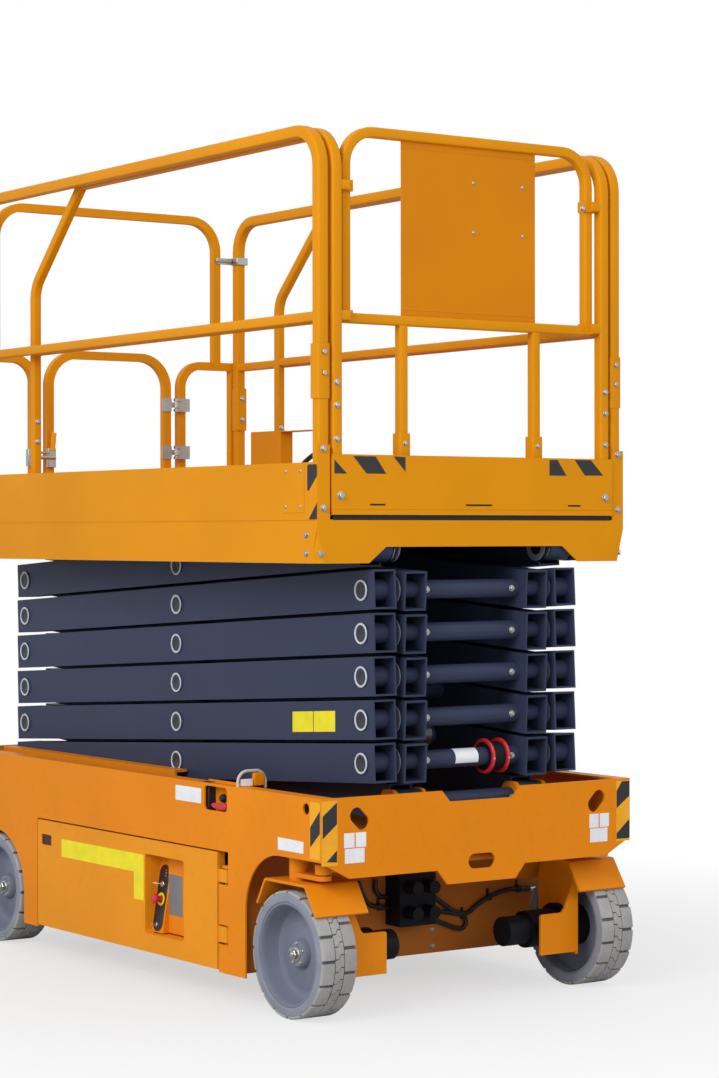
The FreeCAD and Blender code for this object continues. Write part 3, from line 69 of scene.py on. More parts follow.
# Directions, and the machine's two sides
RIGHT, LEFT, AHEAD, UP = (0, -1, 0), (0, 1, 0), (1, 0, 0), (0, 0, 1)
SIDES = ((-1, "right"), (1, "left"))

# Hexagon bolts are drawn at this share of the half widths given, and most films are this thick
BOLT_SCALE = 0.86
FILM_THICK = 0.0005


# Materials


def colour(code):
    """A written sRGB colour as the linear values that shaders take."""
    parts = [int(code[i:i + 2], 16) / 255 for i in (0, 2, 4)]
    return tuple(p / 12.92 if p <= 0.04045 else ((p + 0.055) / 1.055) ** 2.4 for p in parts) + (1.0,)


def shade(code, factor):
    """The same colour, lighter or darker."""
    return tuple(min(1.0, c * factor) for c in colour(code)[:3]) + (1.0,)


class Shader:
    """Builds one node material around a Principled shader."""

    def __init__(self, name):
        self.material = bpy.data.materials.new(name)
        self.material.use_nodes = True
        self.nodes = self.material.node_tree.nodes
        self.links = self.material.node_tree.links
        self.surface = self.nodes["Principled BSDF"]
        self.where = self.nodes.new("ShaderNodeTexCoord").outputs["Object"]

    def noise(self, scale, detail=3.0, stretch=None):
        place = self.where
        if stretch:
            mapping = self.nodes.new("ShaderNodeMapping")
            mapping.inputs["Scale"].default_value = stretch
            self.links.new(place, mapping.inputs["Vector"])
            place = mapping.outputs["Vector"]
        node = self.nodes.new("ShaderNodeTexNoise")
        node.inputs["Scale"].default_value = scale
        node.inputs["Detail"].default_value = detail
        self.links.new(place, node.inputs["Vector"])
        return node.outputs["Fac"]

    def ramp(self, value, stops):
        node = self.nodes.new("ShaderNodeValToRGB")
        for i, (at, tint) in enumerate(stops):
            if i > 1:
                node.color_ramp.elements.new(at)
            element = node.color_ramp.elements[i]
            element.position = at
            element.color = tint
        self.links.new(value, node.inputs["Fac"])
        return node.outputs["Color"]

    def feed(self, value, socket):
        """Sets a socket to a value, or links it to another node's output."""
        if hasattr(value, "links"):
            self.links.new(value, socket)
        else:
            socket.default_value = value

    def mix(self, factor, first, second):
        node = self.nodes.new("ShaderNodeMix")
        node.data_type = "RGBA"
        for value, number in ((factor, 0), (first, 6), (second, 7)):
            self.feed(value, node.inputs[number])
        return node.outputs[2]

    def colour_from(self, value):
        self.links.new(value, self.surface.inputs["Base Color"])

    def spread(self, value, low, high, start=0.0, end=1.0):
        """A value that runs from start to end, spread from low to high."""
        node = self.nodes.new("ShaderNodeMapRange")
        for name, number in (("From Min", start), ("From Max", end), ("To Min", low), ("To Max", high)):
            node.inputs[name].default_value = number
        self.links.new(value, node.inputs["Value"])
        return node.outputs["Result"]

    def rough(self, value, low, high):
        self.links.new(self.spread(value, low, high), self.surface.inputs["Roughness"])

    def bump(self, value, strength, distance):
        node = self.nodes.new("ShaderNodeBump")
        node.inputs["Strength"].default_value = strength
        node.inputs["Distance"].default_value = distance
        self.links.new(value, node.inputs["Height"])
        self.links.new(node.outputs["Normal"], self.surface.inputs["Normal"])

    def inside(self, box):
        """1 within the box (x from, x to, |y| up to, z up to), and 0 elsewhere."""
        x_low, x_high, y_half, z_high = box
        split = self.nodes.new("ShaderNodeSeparateXYZ")
        self.links.new(self.where, split.inputs[0])
        off_middle = self.math("SUBTRACT", split.outputs["X"], (x_low + x_high) / 2)
        result = self.math("LESS_THAN", split.outputs["Z"], z_high)
        for value, half in ((off_middle, (x_high - x_low) / 2), (split.outputs["Y"], y_half)):
            near = self.math("LESS_THAN", self.math("ABSOLUTE", value, 0), half)
            result = self.math("MULTIPLY", result, near)
        return result

    def math(self, operation, first, second):
        node = self.nodes.new("ShaderNodeMath")
        node.operation = operation
        for value, socket in zip((first, second), node.inputs):
            self.feed(value, socket)
        return node.outputs[0]


def paint(name, code, rough=0.34, dust=0.0, under=None, shade_tone=None):
    """Sprayed paint: fine orange peel, slow drift of colour, dust, and painted shade, a darker tone, in the
    box under.
    """
    s = Shader(name)
    base = s.ramp(s.noise(2.3), [(0.3, shade(code, 0.94)), (0.7, shade(code, 1.05))])
    if dust:
        specks = s.ramp(s.noise(38, 6), [(0.56, (0, 0, 0, 1)), (0.78, (dust, dust, dust, 1))])
        base = s.mix(specks, base, shade(code, 0.62))
    if under:
        base = s.mix(s.inside(under), base, colour(shade_tone or UNDERSIDE_SHADE))
    s.colour_from(base)
    s.rough(s.noise(9, 4), rough - 0.05, rough + 0.1)
    s.bump(s.noise(520, 2), 0.12, 0.0004)
    s.surface.inputs["Specular IOR Level"].default_value = 0.12
    return s.material


def rubber(name, code):
    """Grey tyre rubber with dust in its pores and dull scuffs."""
    s = Shader(name)
    base = s.ramp(s.noise(14, 5), [(0.3, shade(code, 0.86)), (0.72, shade(code, 1.1))])
    specks = s.ramp(s.noise(160, 4), [(0.5, (0, 0, 0, 1)), (0.72, (0.4, 0.4, 0.4, 1))])
    s.colour_from(s.mix(specks, base, shade(code, 0.7)))
    s.rough(s.noise(25, 3), 0.68, 0.9)
    s.bump(s.noise(240, 4), 0.35, 0.0008)
    return s.material


def metal(name, code, rough=0.3, grain=(1, 1, 1)):
    """Bare or plated metal with a fine drawn grain."""
    s = Shader(name)
    s.surface.inputs["Metallic"].default_value = 1.0
    fine = s.noise(180, 4, grain)
    s.colour_from(s.ramp(fine, [(0.3, shade(code, 0.85)), (0.7, shade(code, 1.08))]))
    s.rough(fine, rough - 0.08, rough + 0.1)
    s.bump(fine, 0.08, 0.0003)
    return s.material


def plastic(name, code, rough=0.45):
    """Moulded plastic or printed film with a faint leather grain."""
    s = Shader(name)
    s.colour_from(s.ramp(s.noise(20, 3), [(0.3, shade(code, 0.92)), (0.7, shade(code, 1.06))]))
    s.rough(s.noise(60, 3), rough - 0.06, rough + 0.08)
    s.bump(s.noise(700, 2), 0.15, 0.0003)
    return s.material


# Painted shade: a near black tone under the deck and the extension, and a brown tone on the front bulkhead
UNDERSIDE_SHADE = "1D1E26"
ORANGE_TONE, AMBER_TONE, BULKHEAD_SHADE = "E5860D", "DC8E00", "B66A26"
SATIN, ROAD_DUST = 0.42, 0.16
ORANGE = paint("orange_paint", ORANGE_TONE, SATIN, dust=ROAD_DUST)
AMBER = paint("amber_paint", AMBER_TONE, SATIN)
SLATE = paint("slate_paint", "363D54", 0.36, dust=0.2)
BLACK_PAINT = paint("black_paint", "16171D", 0.45, dust=0.2)
GREY_PAINT = paint("wheel_paint", "787E8D", 0.45, dust=0.3)
PANEL_PAINT = paint("panel_paint", "D48000", SATIN)
TYRE = rubber("tyre_rubber", "A3A19F")
SIDEWALL = rubber("tyre_sidewall", "888C98")
GROOVE = rubber("tyre_groove", "5F5F62")
PLATED = metal("plated_steel", "B2B2AE", 0.3)
STEEL = metal("bare_steel", "A7A8AA", 0.34, (1, 1, 12))
RING = plastic("bearing_ring", "C3C7CF", 0.32)
GALVANIZED = plastic("galvanized", "C4BFB6", 0.4)
CLOSE_DARK = plastic("pin_end", "262A36", 0.5)
BLACK = plastic("black_plastic", "17181B")
FILM_BLACK = plastic("black_film", "15161C", 0.5)
FILM_YELLOW = plastic("yellow_film", "EFDF05", 0.5)
FILM_WHITE = plastic("white_film", "E9EBEE", 0.4)
FILM_GREY = plastic("grey_film", "75777A", 0.4)
STRIPE_AMBER = plastic("amber_film", "F0A600", 0.5)
RED = plastic("red_plastic", "C4202B", 0.35)
HOSE = plastic("hose_rubber", "1A1A1D", 0.5)
# Near black painted shade for gaps and slots
GAP_SHADE = plastic("painted_gap_shade", "121214", 0.8)
# Dark brown painted shade for the latch pockets
POCKET_SHADE = plastic("painted_pocket_shade", "3C1808", 0.6)
SPACER = plastic("spacer_washer", "7A7F8E", 0.4)

# Where a node takes painted shade, a darker tone under the deck, under the extension and on the front
# bulkhead: boxes of (x from, x to, |y| up to, z up to)
SHADED_UNDER_DECK = (-1.0780, 1.1975, 0.5775, 1.4985)
SHADED_UNDER_EXTENSION = (-0.700, 1.2025, 0.520, 1.5070)
SHADED_BULKHEAD = (BULKHEAD - 0.010, BULKHEAD + 0.010, 0.60, 0.46)

SLOT_LOOKS = {
    "chassis_paint": ORANGE,
    "rail_paint": AMBER,
    "arm_paint": SLATE,
    "tyre": TYRE,
    "rim_paint": GREY_PAINT,
    "plated": PLATED,
    "black_metal": BLACK_PAINT,
    "steel": STEEL,
}
# The doors take a lighter copy of the orange, as painted light thrown back from the ground
LIT_DOOR_PAINT = paint("lit_door_paint", "E89318", SATIN, dust=ROAD_DUST)
NODE_LOOKS = {
    # The deck and the extension are darkened underneath as painted shade
    "deck": paint("deck_paint_shaded_under", AMBER_TONE, SATIN, under=SHADED_UNDER_DECK),
    "extension_deck": paint("extension_paint_shaded_under", AMBER_TONE, SATIN, under=SHADED_UNDER_EXTENSION),
    "tie_rod": ORANGE,
    # The beams are darkened to brown on the front bulkhead as painted shade
    "chassis_beams": paint("beam_paint_shaded_bulkhead", ORANGE_TONE, SATIN, ROAD_DUST, SHADED_BULKHEAD, BULKHEAD_SHADE),
    "door_right": LIT_DOOR_PAINT,
    "door_left": LIT_DOOR_PAINT,
}
for part in frame["record"]["subparts"]:
    node = frame["nodes"][part["node"]]
    node.data.materials.clear()
    node.data.materials.append(NODE_LOOKS.get(part["node"], SLOT_LOOKS[part["material_slot"]]))


# Shapes


def rectangle(x0, z0, x1, z1):
    return [(x0, z0), (x1, z0), (x1, z1), (x0, z1)]


def both(place):
    """The same distance to the right and to the left of the middle."""
    return -place, place


def round_from(first, second, turn):
    """The first direction turned towards the second."""
    return first * math.cos(turn) + second * math.sin(turn)


def square(axis):
    """Two directions that are square to an axis and to each other."""
    axis = Vector(axis).normalized()
    aside = Vector((0, 0, 1)) if abs(axis.z) < 0.9 else Vector((1, 0, 0))
    first = aside.cross(axis).normalized()
    return first, axis.cross(first)


class Shape:
    """Gathers the solids of one piece. paint is the number of the look that the next faces take."""

    def __init__(self):
        self.mesh = bmesh.new()
        self.paint = 0

    def skin(self, rings):
        """A solid between rows of points, each row a closed loop."""
        loops = [[self.mesh.verts.new(p) for p in ring] for ring in rings]
        count = len(loops[0])
        faces = []
        for low, high in zip(loops, loops[1:]):
            for i in range(count):
                j = (i + 1) % count
                faces.append(self.mesh.faces.new((low[i], low[j], high[j], high[i])))
        faces.append(self.mesh.faces.new(loops[0][::-1]))
        faces.append(self.mesh.faces.new(loops[-1]))
        for face in faces:
            face.material_index = self.paint

    def turned(self, at, axis, profile, sides=24, spin=0.0):
        """A profile of (distance along the axis, radius) turned about the axis."""
        axis = Vector(axis).normalized()
        first, second = square(axis)
        rings = []
        for along, radius in profile:
            middle = Vector(at) + axis * along
            turns = [spin + 2 * math.pi * i / sides for i in range(sides)]
            rings.append([middle + round_from(first, second, turn) * radius for turn in turns])
        self.skin(rings)

    def hoop(self, at, axis, profile, sides=64):
        """A closed profile of (distance along the axis, radius) turned about the axis, open in the middle."""
        axis = Vector(axis).normalized()
        first, second = square(axis)
        rings = []
        for i in range(sides):
            out = round_from(first, second, 2 * math.pi * i / sides)
            ring = [Vector(at) + axis * along + out * radius for along, radius in profile]
            rings.append([self.mesh.verts.new(point) for point in ring])
        for low, high in zip(rings, rings[1:] + rings[:1]):
            for i in range(len(profile)):
                j = (i + 1) % len(profile)
                self.mesh.faces.new((low[i], low[j], high[j], high[i])).material_index = self.paint

    def plate(self, corners, push):
        """A flat outline of 3-D points pushed out by a vector."""
        push = Vector(push)
        lower = [Vector(c) for c in corners]
        self.skin([lower, [c + push for c in lower]])

    def block(self, low, high):
        (x0, y0, z0), (x1, y1, z1) = low, high
        self.plate([(x0, y0, z0), (x1, y0, z0), (x1, y1, z0), (x0, y1, z0)], (0, 0, z1 - z0))

    def tube(self, points, radius, sides=12):
        """A round tube along straight runs."""
        points = [Vector(p) for p in points]
        turns = [2 * math.pi * k / sides for k in range(sides)]
        rings = []
        for i, p in enumerate(points):
            before = points[max(i - 1, 0)]
            after = points[min(i + 1, len(points) - 1)]
            along = (after - before).normalized()
            if i == 0:
                first, second = square(along)
            else:
                first = (first - along * first.dot(along)).normalized()
                second = along.cross(first)
            rings.append([p + round_from(first, second, turn) * radius for turn in turns])
        self.skin(rings)

    def square_tube(self, path, across, size, corner=0.005):
        """A square tube with rounded edges along a flat path, square to the direction across."""
        across = Vector(across).normalized()
        flat = size / 2 - corner
        section = []
        for start, (sx, sy) in zip((0, 90, 180, 270), ((1, 1), (-1, 1), (-1, -1), (1, -1))):
            for turn in (start, start + 30, start + 60, start + 90):
                turn = math.radians(turn)
                section.append((sx * flat + corner * math.cos(turn), sy * flat + corner * math.sin(turn)))
        rings = []
        for i, point in enumerate(path):
            along = (path[min(i + 1, len(path) - 1)] - path[max(i - 1, 0)]).normalized()
            aside = along.cross(across)
            rings.append([point + across * a + aside * b for a, b in section])
        self.skin(rings)

    def bar(self, start, end, across, size):
        """A straight square tube."""
        self.square_tube([Vector(start), Vector(end)], across, size)

    def done(self, name, body, looks, bevel=0.0, slot=None):
        """Makes the object, rounds its edges and hangs it on its body."""
        bmesh.ops.recalc_face_normals(self.mesh, faces=self.mesh.faces)
        data = bpy.data.meshes.new(name)
        self.mesh.to_mesh(data)
        self.mesh.free()
        for look in looks if isinstance(looks, (list, tuple)) else [looks]:
            data.materials.append(look)
        data.shade_smooth()
        piece = bpy.data.objects.new(name, data)
        bpy.context.scene.collection.objects.link(piece)
        if bevel:
            edge = piece.modifiers.new("edge", "BEVEL")
            edge.width = bevel
            edge.segments = 2
            edge.limit_method = "ANGLE"
            edge.angle_limit = math.radians(35)
        data.set_sharp_from_angle(angle=math.radians(38))
        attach(piece, body)
        return piece


def bent(corners, bends=(), steps=8):
    """A path through the corners, with each inner corner rounded by its bend radius."""
    corners = [Vector(c) for c in corners]
    path = corners[:1]
    for before, corner, after, radius in zip(corners, corners[1:], corners[2:], bends):
        back, on = (before - corner).normalized(), (after - corner).normalized()
        half = back.angle(on) / 2
        centre = corner + (back + on).normalized() * (radius / math.sin(half))
        first = corner + back * (radius / math.tan(half)) - centre
        last = corner + on * (radius / math.tan(half)) - centre
        sweep = first.angle(last)
        for i in range(steps + 1):
            t = i / steps
            turned = first * math.sin((1 - t) * sweep) + last * math.sin(t * sweep)
            path.append(centre + turned / math.sin(sweep))
    return path + corners[-1:]


def hex_bolt(shape, at, axis, size=0.011):
    """A bolt: washer, six-sided head and its chamfer. size is half the head's width."""
    shape.turned(at, axis, [(0, size * 1.45), (size * 0.22, size * 1.45), (size * 0.25, size * 1.3)], 20)
    shape.turned(Vector(at) + Vector(axis).normalized() * size * 0.2, axis,
                 [(0, size * 1.1), (size * 0.72, size * 1.1), (size * 0.85, size * 0.92)], 6, 0.26)


def dome_rivet(shape, at, axis, size=0.008):
    """A rivet or screw with a low domed head. size is its radius."""
    dome = [(0, size), (size * 0.18, size), (size * 0.42, size * 0.72), (size * 0.52, size * 0.3)]
    shape.turned(at, axis, dome, 16)


def film(name, body, look, outlines, push, bevel=0.0, slot=None):
    """Printed film or a flat sheet in one or more pieces, each an outline pushed out by the same vector."""
    shape = Shape()
    for outline in outlines:
        shape.plate(outline, push)
    return shape.done(name, body, look, bevel, slot)


def blocks(name, body, look, corners, bevel=0.0, slot=None):
    """A piece made of blocks, each from its lowest to its highest corner."""
    shape = Shape()
    for low, high in corners:
        shape.block(low, high)
    return shape.done(name, body, look, bevel, slot)


def bolts(name, body, rows):
    """Hexagon bolts from rows of (place, axis, half width)."""
    shape = Shape()
    for at, axis, size in rows:
        hex_bolt(shape, at, axis, size * BOLT_SCALE)
    return shape.done(name, body, PLATED, 0.0005, "plated")


def rivets(name, body, rows):
    """Rivets or screws from rows of (place, axis, radius)."""
    shape = Shape()
    for at, axis, size in rows:
        dome_rivet(shape, at, axis, size)
    return shape.done(name, body, PLATED, 0, "plated")


# Tyres and wheels

TREAD_DEEP = 0.007
TREAD_BASE = WHEEL_RADIUS - TREAD_DEEP - 0.002
SHOULDER = 0.046
BULGE = 0.176
GROOVES = 16
BLOCK_GAP, SLIT = 3.0, 0.9
WHEEL_SIDES = 96


class Wheel:
    """Where a wheel's CAD tyre is, and points on it."""

    def __init__(self, name):
        low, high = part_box("tyre_" + name)
        self.side = 1 if high.y > 0 else -1
        self.x = (low.x + high.x) / 2
        self.z = (low.z + high.z) / 2
        self.face = high.y if self.side > 0 else low.y
        self.width = high.y - low.y
        self.inward = (0, -self.side, 0)
        self.centre = (self.x, self.face, self.z)

    def point(self, inward, radius, angle):
        turn = math.radians(angle)
        return Vector((self.x + radius * math.cos(turn), self.face - self.side * inward,
                       self.z + radius * math.sin(turn)))


def shoulder_block(shape, wheel, middle, sweep, flip):
    """One block of a shoulder row, its outer corner rounded onto the sidewall."""
    top = WHEEL_RADIUS
    section = [(0.0018, TREAD_BASE), (0.0008, top - 0.0055), (0.0028, top - 0.0016), (0.0065, top),
               (SHOULDER, top), (SHOULDER, TREAD_BASE)]
    steps = 5
    rings = []
    for i in range(steps + 1):
        angle = middle + sweep * (i / steps - 0.5)
        rings.append([wheel.point(wheel.width - t if flip else t, r, angle) for t, r in section])
    shape.skin(rings)


def middle_block(shape, wheel, start, sweep):
    """One block of the middle row, cut off from the next by a Z-shaped slit."""
    gap, knee, lean = 0.0025, 0.011, 4.2
    near, far = SHOULDER + gap, wheel.width - SHOULDER - gap
    edge = [(near, start), (near + knee, start), (far - knee, start + lean), (far, start + lean)]
    half = [(far, start + lean + sweep / 2), (near, start + sweep / 2)]
    outline = edge + half[:1] + [(t, a + sweep) for t, a in edge[::-1]] + half[1:]
    shape.skin([[wheel.point(t, r, a) for t, a in outline] for r in (TREAD_BASE, WHEEL_RADIUS)])


def tyre(name):
    """A solid tyre: bulged sidewalls, the darker floor of its grooves, and three rows of blocks."""
    wheel = Wheel(name)
    shape = Shape()
    blocks, grooves, walls = range(3)
    shape.paint = walls
    core = WHEEL_RADIUS - TREAD_DEEP
    wall = [(0.003, RIM_SEAT), (0.0004, RIM_SEAT + 0.003), (0.0002, BULGE), (0.003, core)]
    far_wall = [(wheel.width - inward, radius) for inward, radius in wall[::-1]]
    shape.hoop(wheel.centre, wheel.inward, wall + far_wall, WHEEL_SIDES)
    shape.paint = grooves
    edge, top, bottom = 0.005, core + 0.0003, core - 0.002
    floor = [(edge, top), (wheel.width - edge, top), (wheel.width - edge, bottom), (edge, bottom)]
    shape.hoop(wheel.centre, wheel.inward, floor, WHEEL_SIDES)
    shape.paint = blocks
    pitch = 360 / GROOVES
    for k in range(GROOVES):
        shoulder_block(shape, wheel, 90 + pitch * (k + 0.5), pitch - BLOCK_GAP, False)
        shoulder_block(shape, wheel, 90 + pitch * k, pitch - BLOCK_GAP, True)
    for k in range(2 * GROOVES):
        middle_block(shape, wheel, pitch / 2 * k + 2.0, pitch / 2 - SLIT)
    piece = shape.done("tread_" + name, "wheel_" + name, [TYRE, GROOVE, SIDEWALL], 0.0016, "tyre")
    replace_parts(piece, "tyre_" + name)


def rim(name):
    """A dished wheel disc, turned in one section: (depth from the tyre's face, radius)."""
    wheel = Wheel(name)
    front_side = [
        (HUB_DEPTH, 0.0), (HUB_DEPTH, 0.036), (HUB_DEPTH + 0.006, 0.042), (0.058, 0.044), (0.0585, 0.064),
        (0.0605, 0.067), (0.0605, 0.100), (0.064, 0.106), (0.064, 0.124), (0.060, 0.134), (0.048, 0.1395),
        (0.020, 0.1435), (0.006, 0.147), (0.003, 0.1495), (0.0024, 0.1525), (0.004, RIM_SEAT - 0.0003),
    ]
    back_side = [
        (wheel.width - 0.004, RIM_SEAT - 0.0003), (wheel.width - 0.004, RIM_SEAT - 0.006),
        (0.078, RIM_SEAT - 0.008), (0.076, RIM_SEAT - 0.014), (0.076, 0.0),
    ]
    shape = Shape()
    shape.turned(wheel.centre, wheel.inward, front_side + back_side, WHEEL_SIDES)
    piece = shape.done("dish_" + name, "wheel_" + name, GREY_PAINT, 0, "rim_paint")
    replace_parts(piece, "rim_" + name)


def wheel_nuts(name):
    """The washer, hexagon nut, spindle end and five small bolts on a hub."""
    wheel = Wheel(name)
    out = (0, wheel.side, 0)
    hub = wheel.face - wheel.side * HUB_DEPTH
    nuts = Shape()
    for start, profile, sides in (
        (0.0, [(0, 0.021), (0.003, 0.021), (0.004, 0.019)], 28),
        (0.0035, [(0, 0.0155), (0.010, 0.0155), (0.012, 0.0135)], 6),
        (0.012, [(0, 0.009), (0.007, 0.009), (0.009, 0.0065)], 20),
    ):
        nuts.turned((wheel.x, hub + wheel.side * start, wheel.z), out, profile, sides)
    count, circle, first = 5, 0.031, 20
    for k in range(count):
        turn = math.radians(360 / count * k + first)
        at = (wheel.x + circle * math.cos(turn), hub, wheel.z + circle * math.sin(turn))
        hex_bolt(nuts, at, out, 0.0048)
    nuts.done("nuts_" + name, "wheel_" + name, PLATED, 0.0004, "plated")


for wheel_name in ("front_right", "front_left", "rear_right", "rear_left"):
    tyre(wheel_name)
    rim(wheel_name)
    wheel_nuts(wheel_name)


# Scissor arms

# Profiles of (distance out, radius) about a pin
BEARING_RING = [(0, 0.0322), (0.0016, 0.0320), (0.0028, 0.0306), (0.0028, 0.0272), (0.0016, 0.0256),
                (0, 0.0254)]
SUNK_END = [(0, 0.0256), (0.0012, 0.0256), (0.0012, 0.014), (0.0004, 0.012)]
SPACER_WASHER = [(0, 0.046), (0.0022, 0.045), (0.0022, 0.0265), (0, 0.0265)]
SPACER_FACES = (0.2765, 0.2955)
LEVELS = 6


def row(k):
    """Height of the kth row of end pins, counted from the chassis."""
    return LOW_ROW + ROW_STEP * k


for k in range(1, LEVELS + 1):
    rings = Shape()
    washers = Shape()
    spots = [(PIN_FRONT, row(k)), ((PIN_FRONT + PIN_REAR) / 2, row(k - 0.5))]
    if k > 1:
        spots.append((PIN_REAR, row(k - 1)))
    for x, z in spots:
        for y in (-1, 1):
            rings.paint = 0
            rings.hoop((x, y * (OUTER_FACE + 0.0035), z), (0, y, 0), BEARING_RING)
            rings.paint = 1
            rings.turned((x, y * (OUTER_FACE + 0.0028), z), (0, y, 0), SUNK_END, 32)
            for face in SPACER_FACES:
                washers.hoop((x, y * face, z), (0, y, 0), SPACER_WASHER, 40)
    rings.done(f"pin_rings_{k}", f"outer_arms_{k}", [RING, CLOSE_DARK], 0, "steel")
    washers.done(f"spacers_{k}", f"outer_arms_{k}", SPACER, 0, "steel")

    retainers = Shape()
    for y in (-0.166, 0.160):
        hex_bolt(retainers, (PIN_FRONT + 0.0278, y, row(k - 1)), AHEAD, 0.0072)
    retainers.done(f"retainer_bolts_{k}", f"inner_arms_{k}", PLATED, 0.0005, "plated")

# A drum on the second frame's front tube, with a red split ring at each end
drum = Shape()
drum.hoop((PIN_FRONT, 0.070, row(1)), LEFT, [(0, 0.028), (0, 0.044), (0.062, 0.044), (0.062, 0.028)], 40)
drum.done("tube_drum", "inner_arms_2", BLACK_PAINT, 0.001, "black_metal")
red_rings = Shape()
for y in (0.068, 0.125):
    red_rings.hoop((PIN_FRONT, y, row(1)), LEFT, [
        (0, 0.0435), (0, 0.052), (0.002, 0.0545), (0.008, 0.0545), (0.010, 0.052), (0.010, 0.0435)], 56)
red_rings.done("red_rings", "inner_arms_2", RED, 0.0008)
ring_bolts = Shape()
for y in (0.073, 0.130):
    dome_rivet(ring_bolts, (PIN_FRONT + 0.0535, y, row(1) - 0.004), AHEAD, 0.0035)
ring_bolts.done("red_ring_bolts", "inner_arms_2", PLATED, 0, "plated")


def wrapped_label(name, body, centre, radius, across, turns, look):
    """Film that follows a tube which lies across the machine."""
    shape = Shape()
    low, high = across
    start, end = turns
    steps = 12
    inner, outer = [], []
    for i in range(steps + 1):
        turn = math.radians(start + (end - start) * i / steps)
        for store, r in ((inner, radius), (outer, radius + FILM_THICK)):
            store.append((centre[0] + r * math.cos(turn), centre[1] + r * math.sin(turn)))
    loop = outer + inner[::-1]
    shape.skin([[(x, y, z) for x, z in loop] for y in (low, high)])
    return shape.done(name, body, look)


wrapped_label("tube_label", "inner_arms_2", (PIN_FRONT, row(1)), 0.0284, (-0.057, 0.030), (-30, 82),
              FILM_WHITE)

# Two labels in line on the second outer arm, which rises a little towards the front
LABEL_BACK, LABEL_LOW, LABEL_TOP = 0.770, 0.827, 0.890
ARM_SLOPE = (0.841 - 0.826) / (1.006 - LABEL_BACK)
for name, start, end in (("arm_label_rear", 0.771, 0.8845), ("arm_label_front", 0.8885, 1.004)):
    flat = rectangle(start, LABEL_LOW, end, LABEL_TOP)
    film(name, "outer_arms_2", FILM_YELLOW,
         [[(x, -OUTER_FACE, z + ARM_SLOPE * (x - LABEL_BACK)) for x, z in flat]], (0, -0.0006, 0))

# Platform

# The folded corner that closes the frame between its front and its sides, and the way it faces
FRAME_CORNER = [(DECK_FRONT, 0.5832, 1.456), (1.1675, 0.5832, 1.3537), (DECK_FRONT, 0.5585, 1.3537)]
CORNER_OUT = (0.555, 0.810, -0.192)

deck_rows = []
corners = Shape()
corner_plates = Shape()
for y in (-1, 1):
    corner_out = Vector((CORNER_OUT[0], y * CORNER_OUT[1], CORNER_OUT[2]))
    deck_rows += [
        ((1.143, y * (DECK_HALF - 0.003), 1.437), (0, y, 0), 0.0085),
        ((1.143, y * (DECK_HALF - 0.003), 1.382), (0, y, 0), 0.0085),
        ((1.198, y * 0.5692, 1.382), corner_out, 0.0085),
        ((DECK_FRONT, y * 0.5625, 1.516), AHEAD, 0.009),
        ((DECK_FRONT, y * 0.5625, 1.690), AHEAD, 0.009),
    ]
    corners.plate([(x, y * half, z) for x, half, z in FRAME_CORNER], corner_out * -0.003)
    face = y * (DECK_HALF - 0.0005)
    corner_plates.plate([(x, face, z) for x, z in rectangle(1.020, 1.503, 1.135, 1.6505)], (0, y * 0.0022, 0))
bolts("deck_bolts", "platform", deck_rows)
corners.done("frame_corners", "platform", AMBER, 0, "rail_paint")
corner_plates.done("corner_plates", "platform", AMBER, 0.0007, "rail_paint")
rivets("corner_screws", "platform", [
    ((x, y * (DECK_HALF + 0.0016), z), (0, y, 0), 0.0052)
    for y in (-1, 1) for x in (1.038, 1.117) for z in (1.521, 1.626)
])

# Painted shade: a near black sheet in the gap under the extension's toe board
blocks("slot_shade", "platform", GAP_SHADE, [((1.2028, -0.530, 1.4815), (1.2036, 0.530, 1.4990))])

# The toe board's slots, as near black films of painted shade, and its fold, as (distance ahead of the board,
# height)
film("toe_slots", "extension", GAP_SHADE, [
    [(TOE_FRONT, y, z) for y, z in rectangle(low, 1.5245, high, 1.5300)]
    for low, high in ((-0.400, -0.345), (-0.045, 0.055), (0.355, 0.405))
], (0.0004, 0, 0))
TOE_FOLD = ((-0.002, 1.512), (0.0012, 1.514), (0.0012, 1.518), (-0.002, 1.520))
toe_fold = Shape()
toe_fold.skin([[(TOE_FRONT + ahead, y, z) for ahead, z in TOE_FOLD] for y in both(0.532)])
toe_fold.done("toe_fold", "extension", AMBER, 0.0005, "rail_paint")
bolts("toe_bolts", "extension", [((TOE_FRONT, y, 1.553), AHEAD, 0.0105) for y in both(0.505)])

TOE_STRIPES = (
    [(-0.528, 1.659), (-0.483, 1.618), (-0.528, 1.618)],
    [(-0.461, 1.670), (-0.380, 1.670), (-0.342, 1.619), (-0.413, 1.619)],
    [(-0.315, 1.671), (-0.271, 1.670), (-0.271, 1.626)],
    [(0.281, 1.669), (0.313, 1.670), (0.349, 1.621), (0.281, 1.621)],
    [(0.382, 1.671), (0.448, 1.671), (0.498, 1.623), (0.423, 1.623)],
)
film("toe_stripes", "extension", FILM_BLACK,
     [[(TOE_FRONT, y, z) for y, z in stripe] for stripe in TOE_STRIPES], (FILM_THICK, 0, 0))
CORNER_STRIPES = (
    [(1.151, 1.641), (1.156, 1.6445), (1.199, 1.6445), (1.202, 1.640), (1.202, 1.610), (1.158, 1.567),
     (1.151, 1.569)],
    [(1.202, 1.532), (1.158, 1.483), (1.202, 1.483)],
)
for side, name in SIDES:
    stripes = [[(x, side * DECK_HALF, z) for x, z in stripe] for stripe in CORNER_STRIPES]
    film("corner_stripes_" + name, "platform", FILM_BLACK, stripes, (0, side * FILM_THICK, 0))

# Rails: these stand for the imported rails, with the kinked posts on the extension as the photograph has them

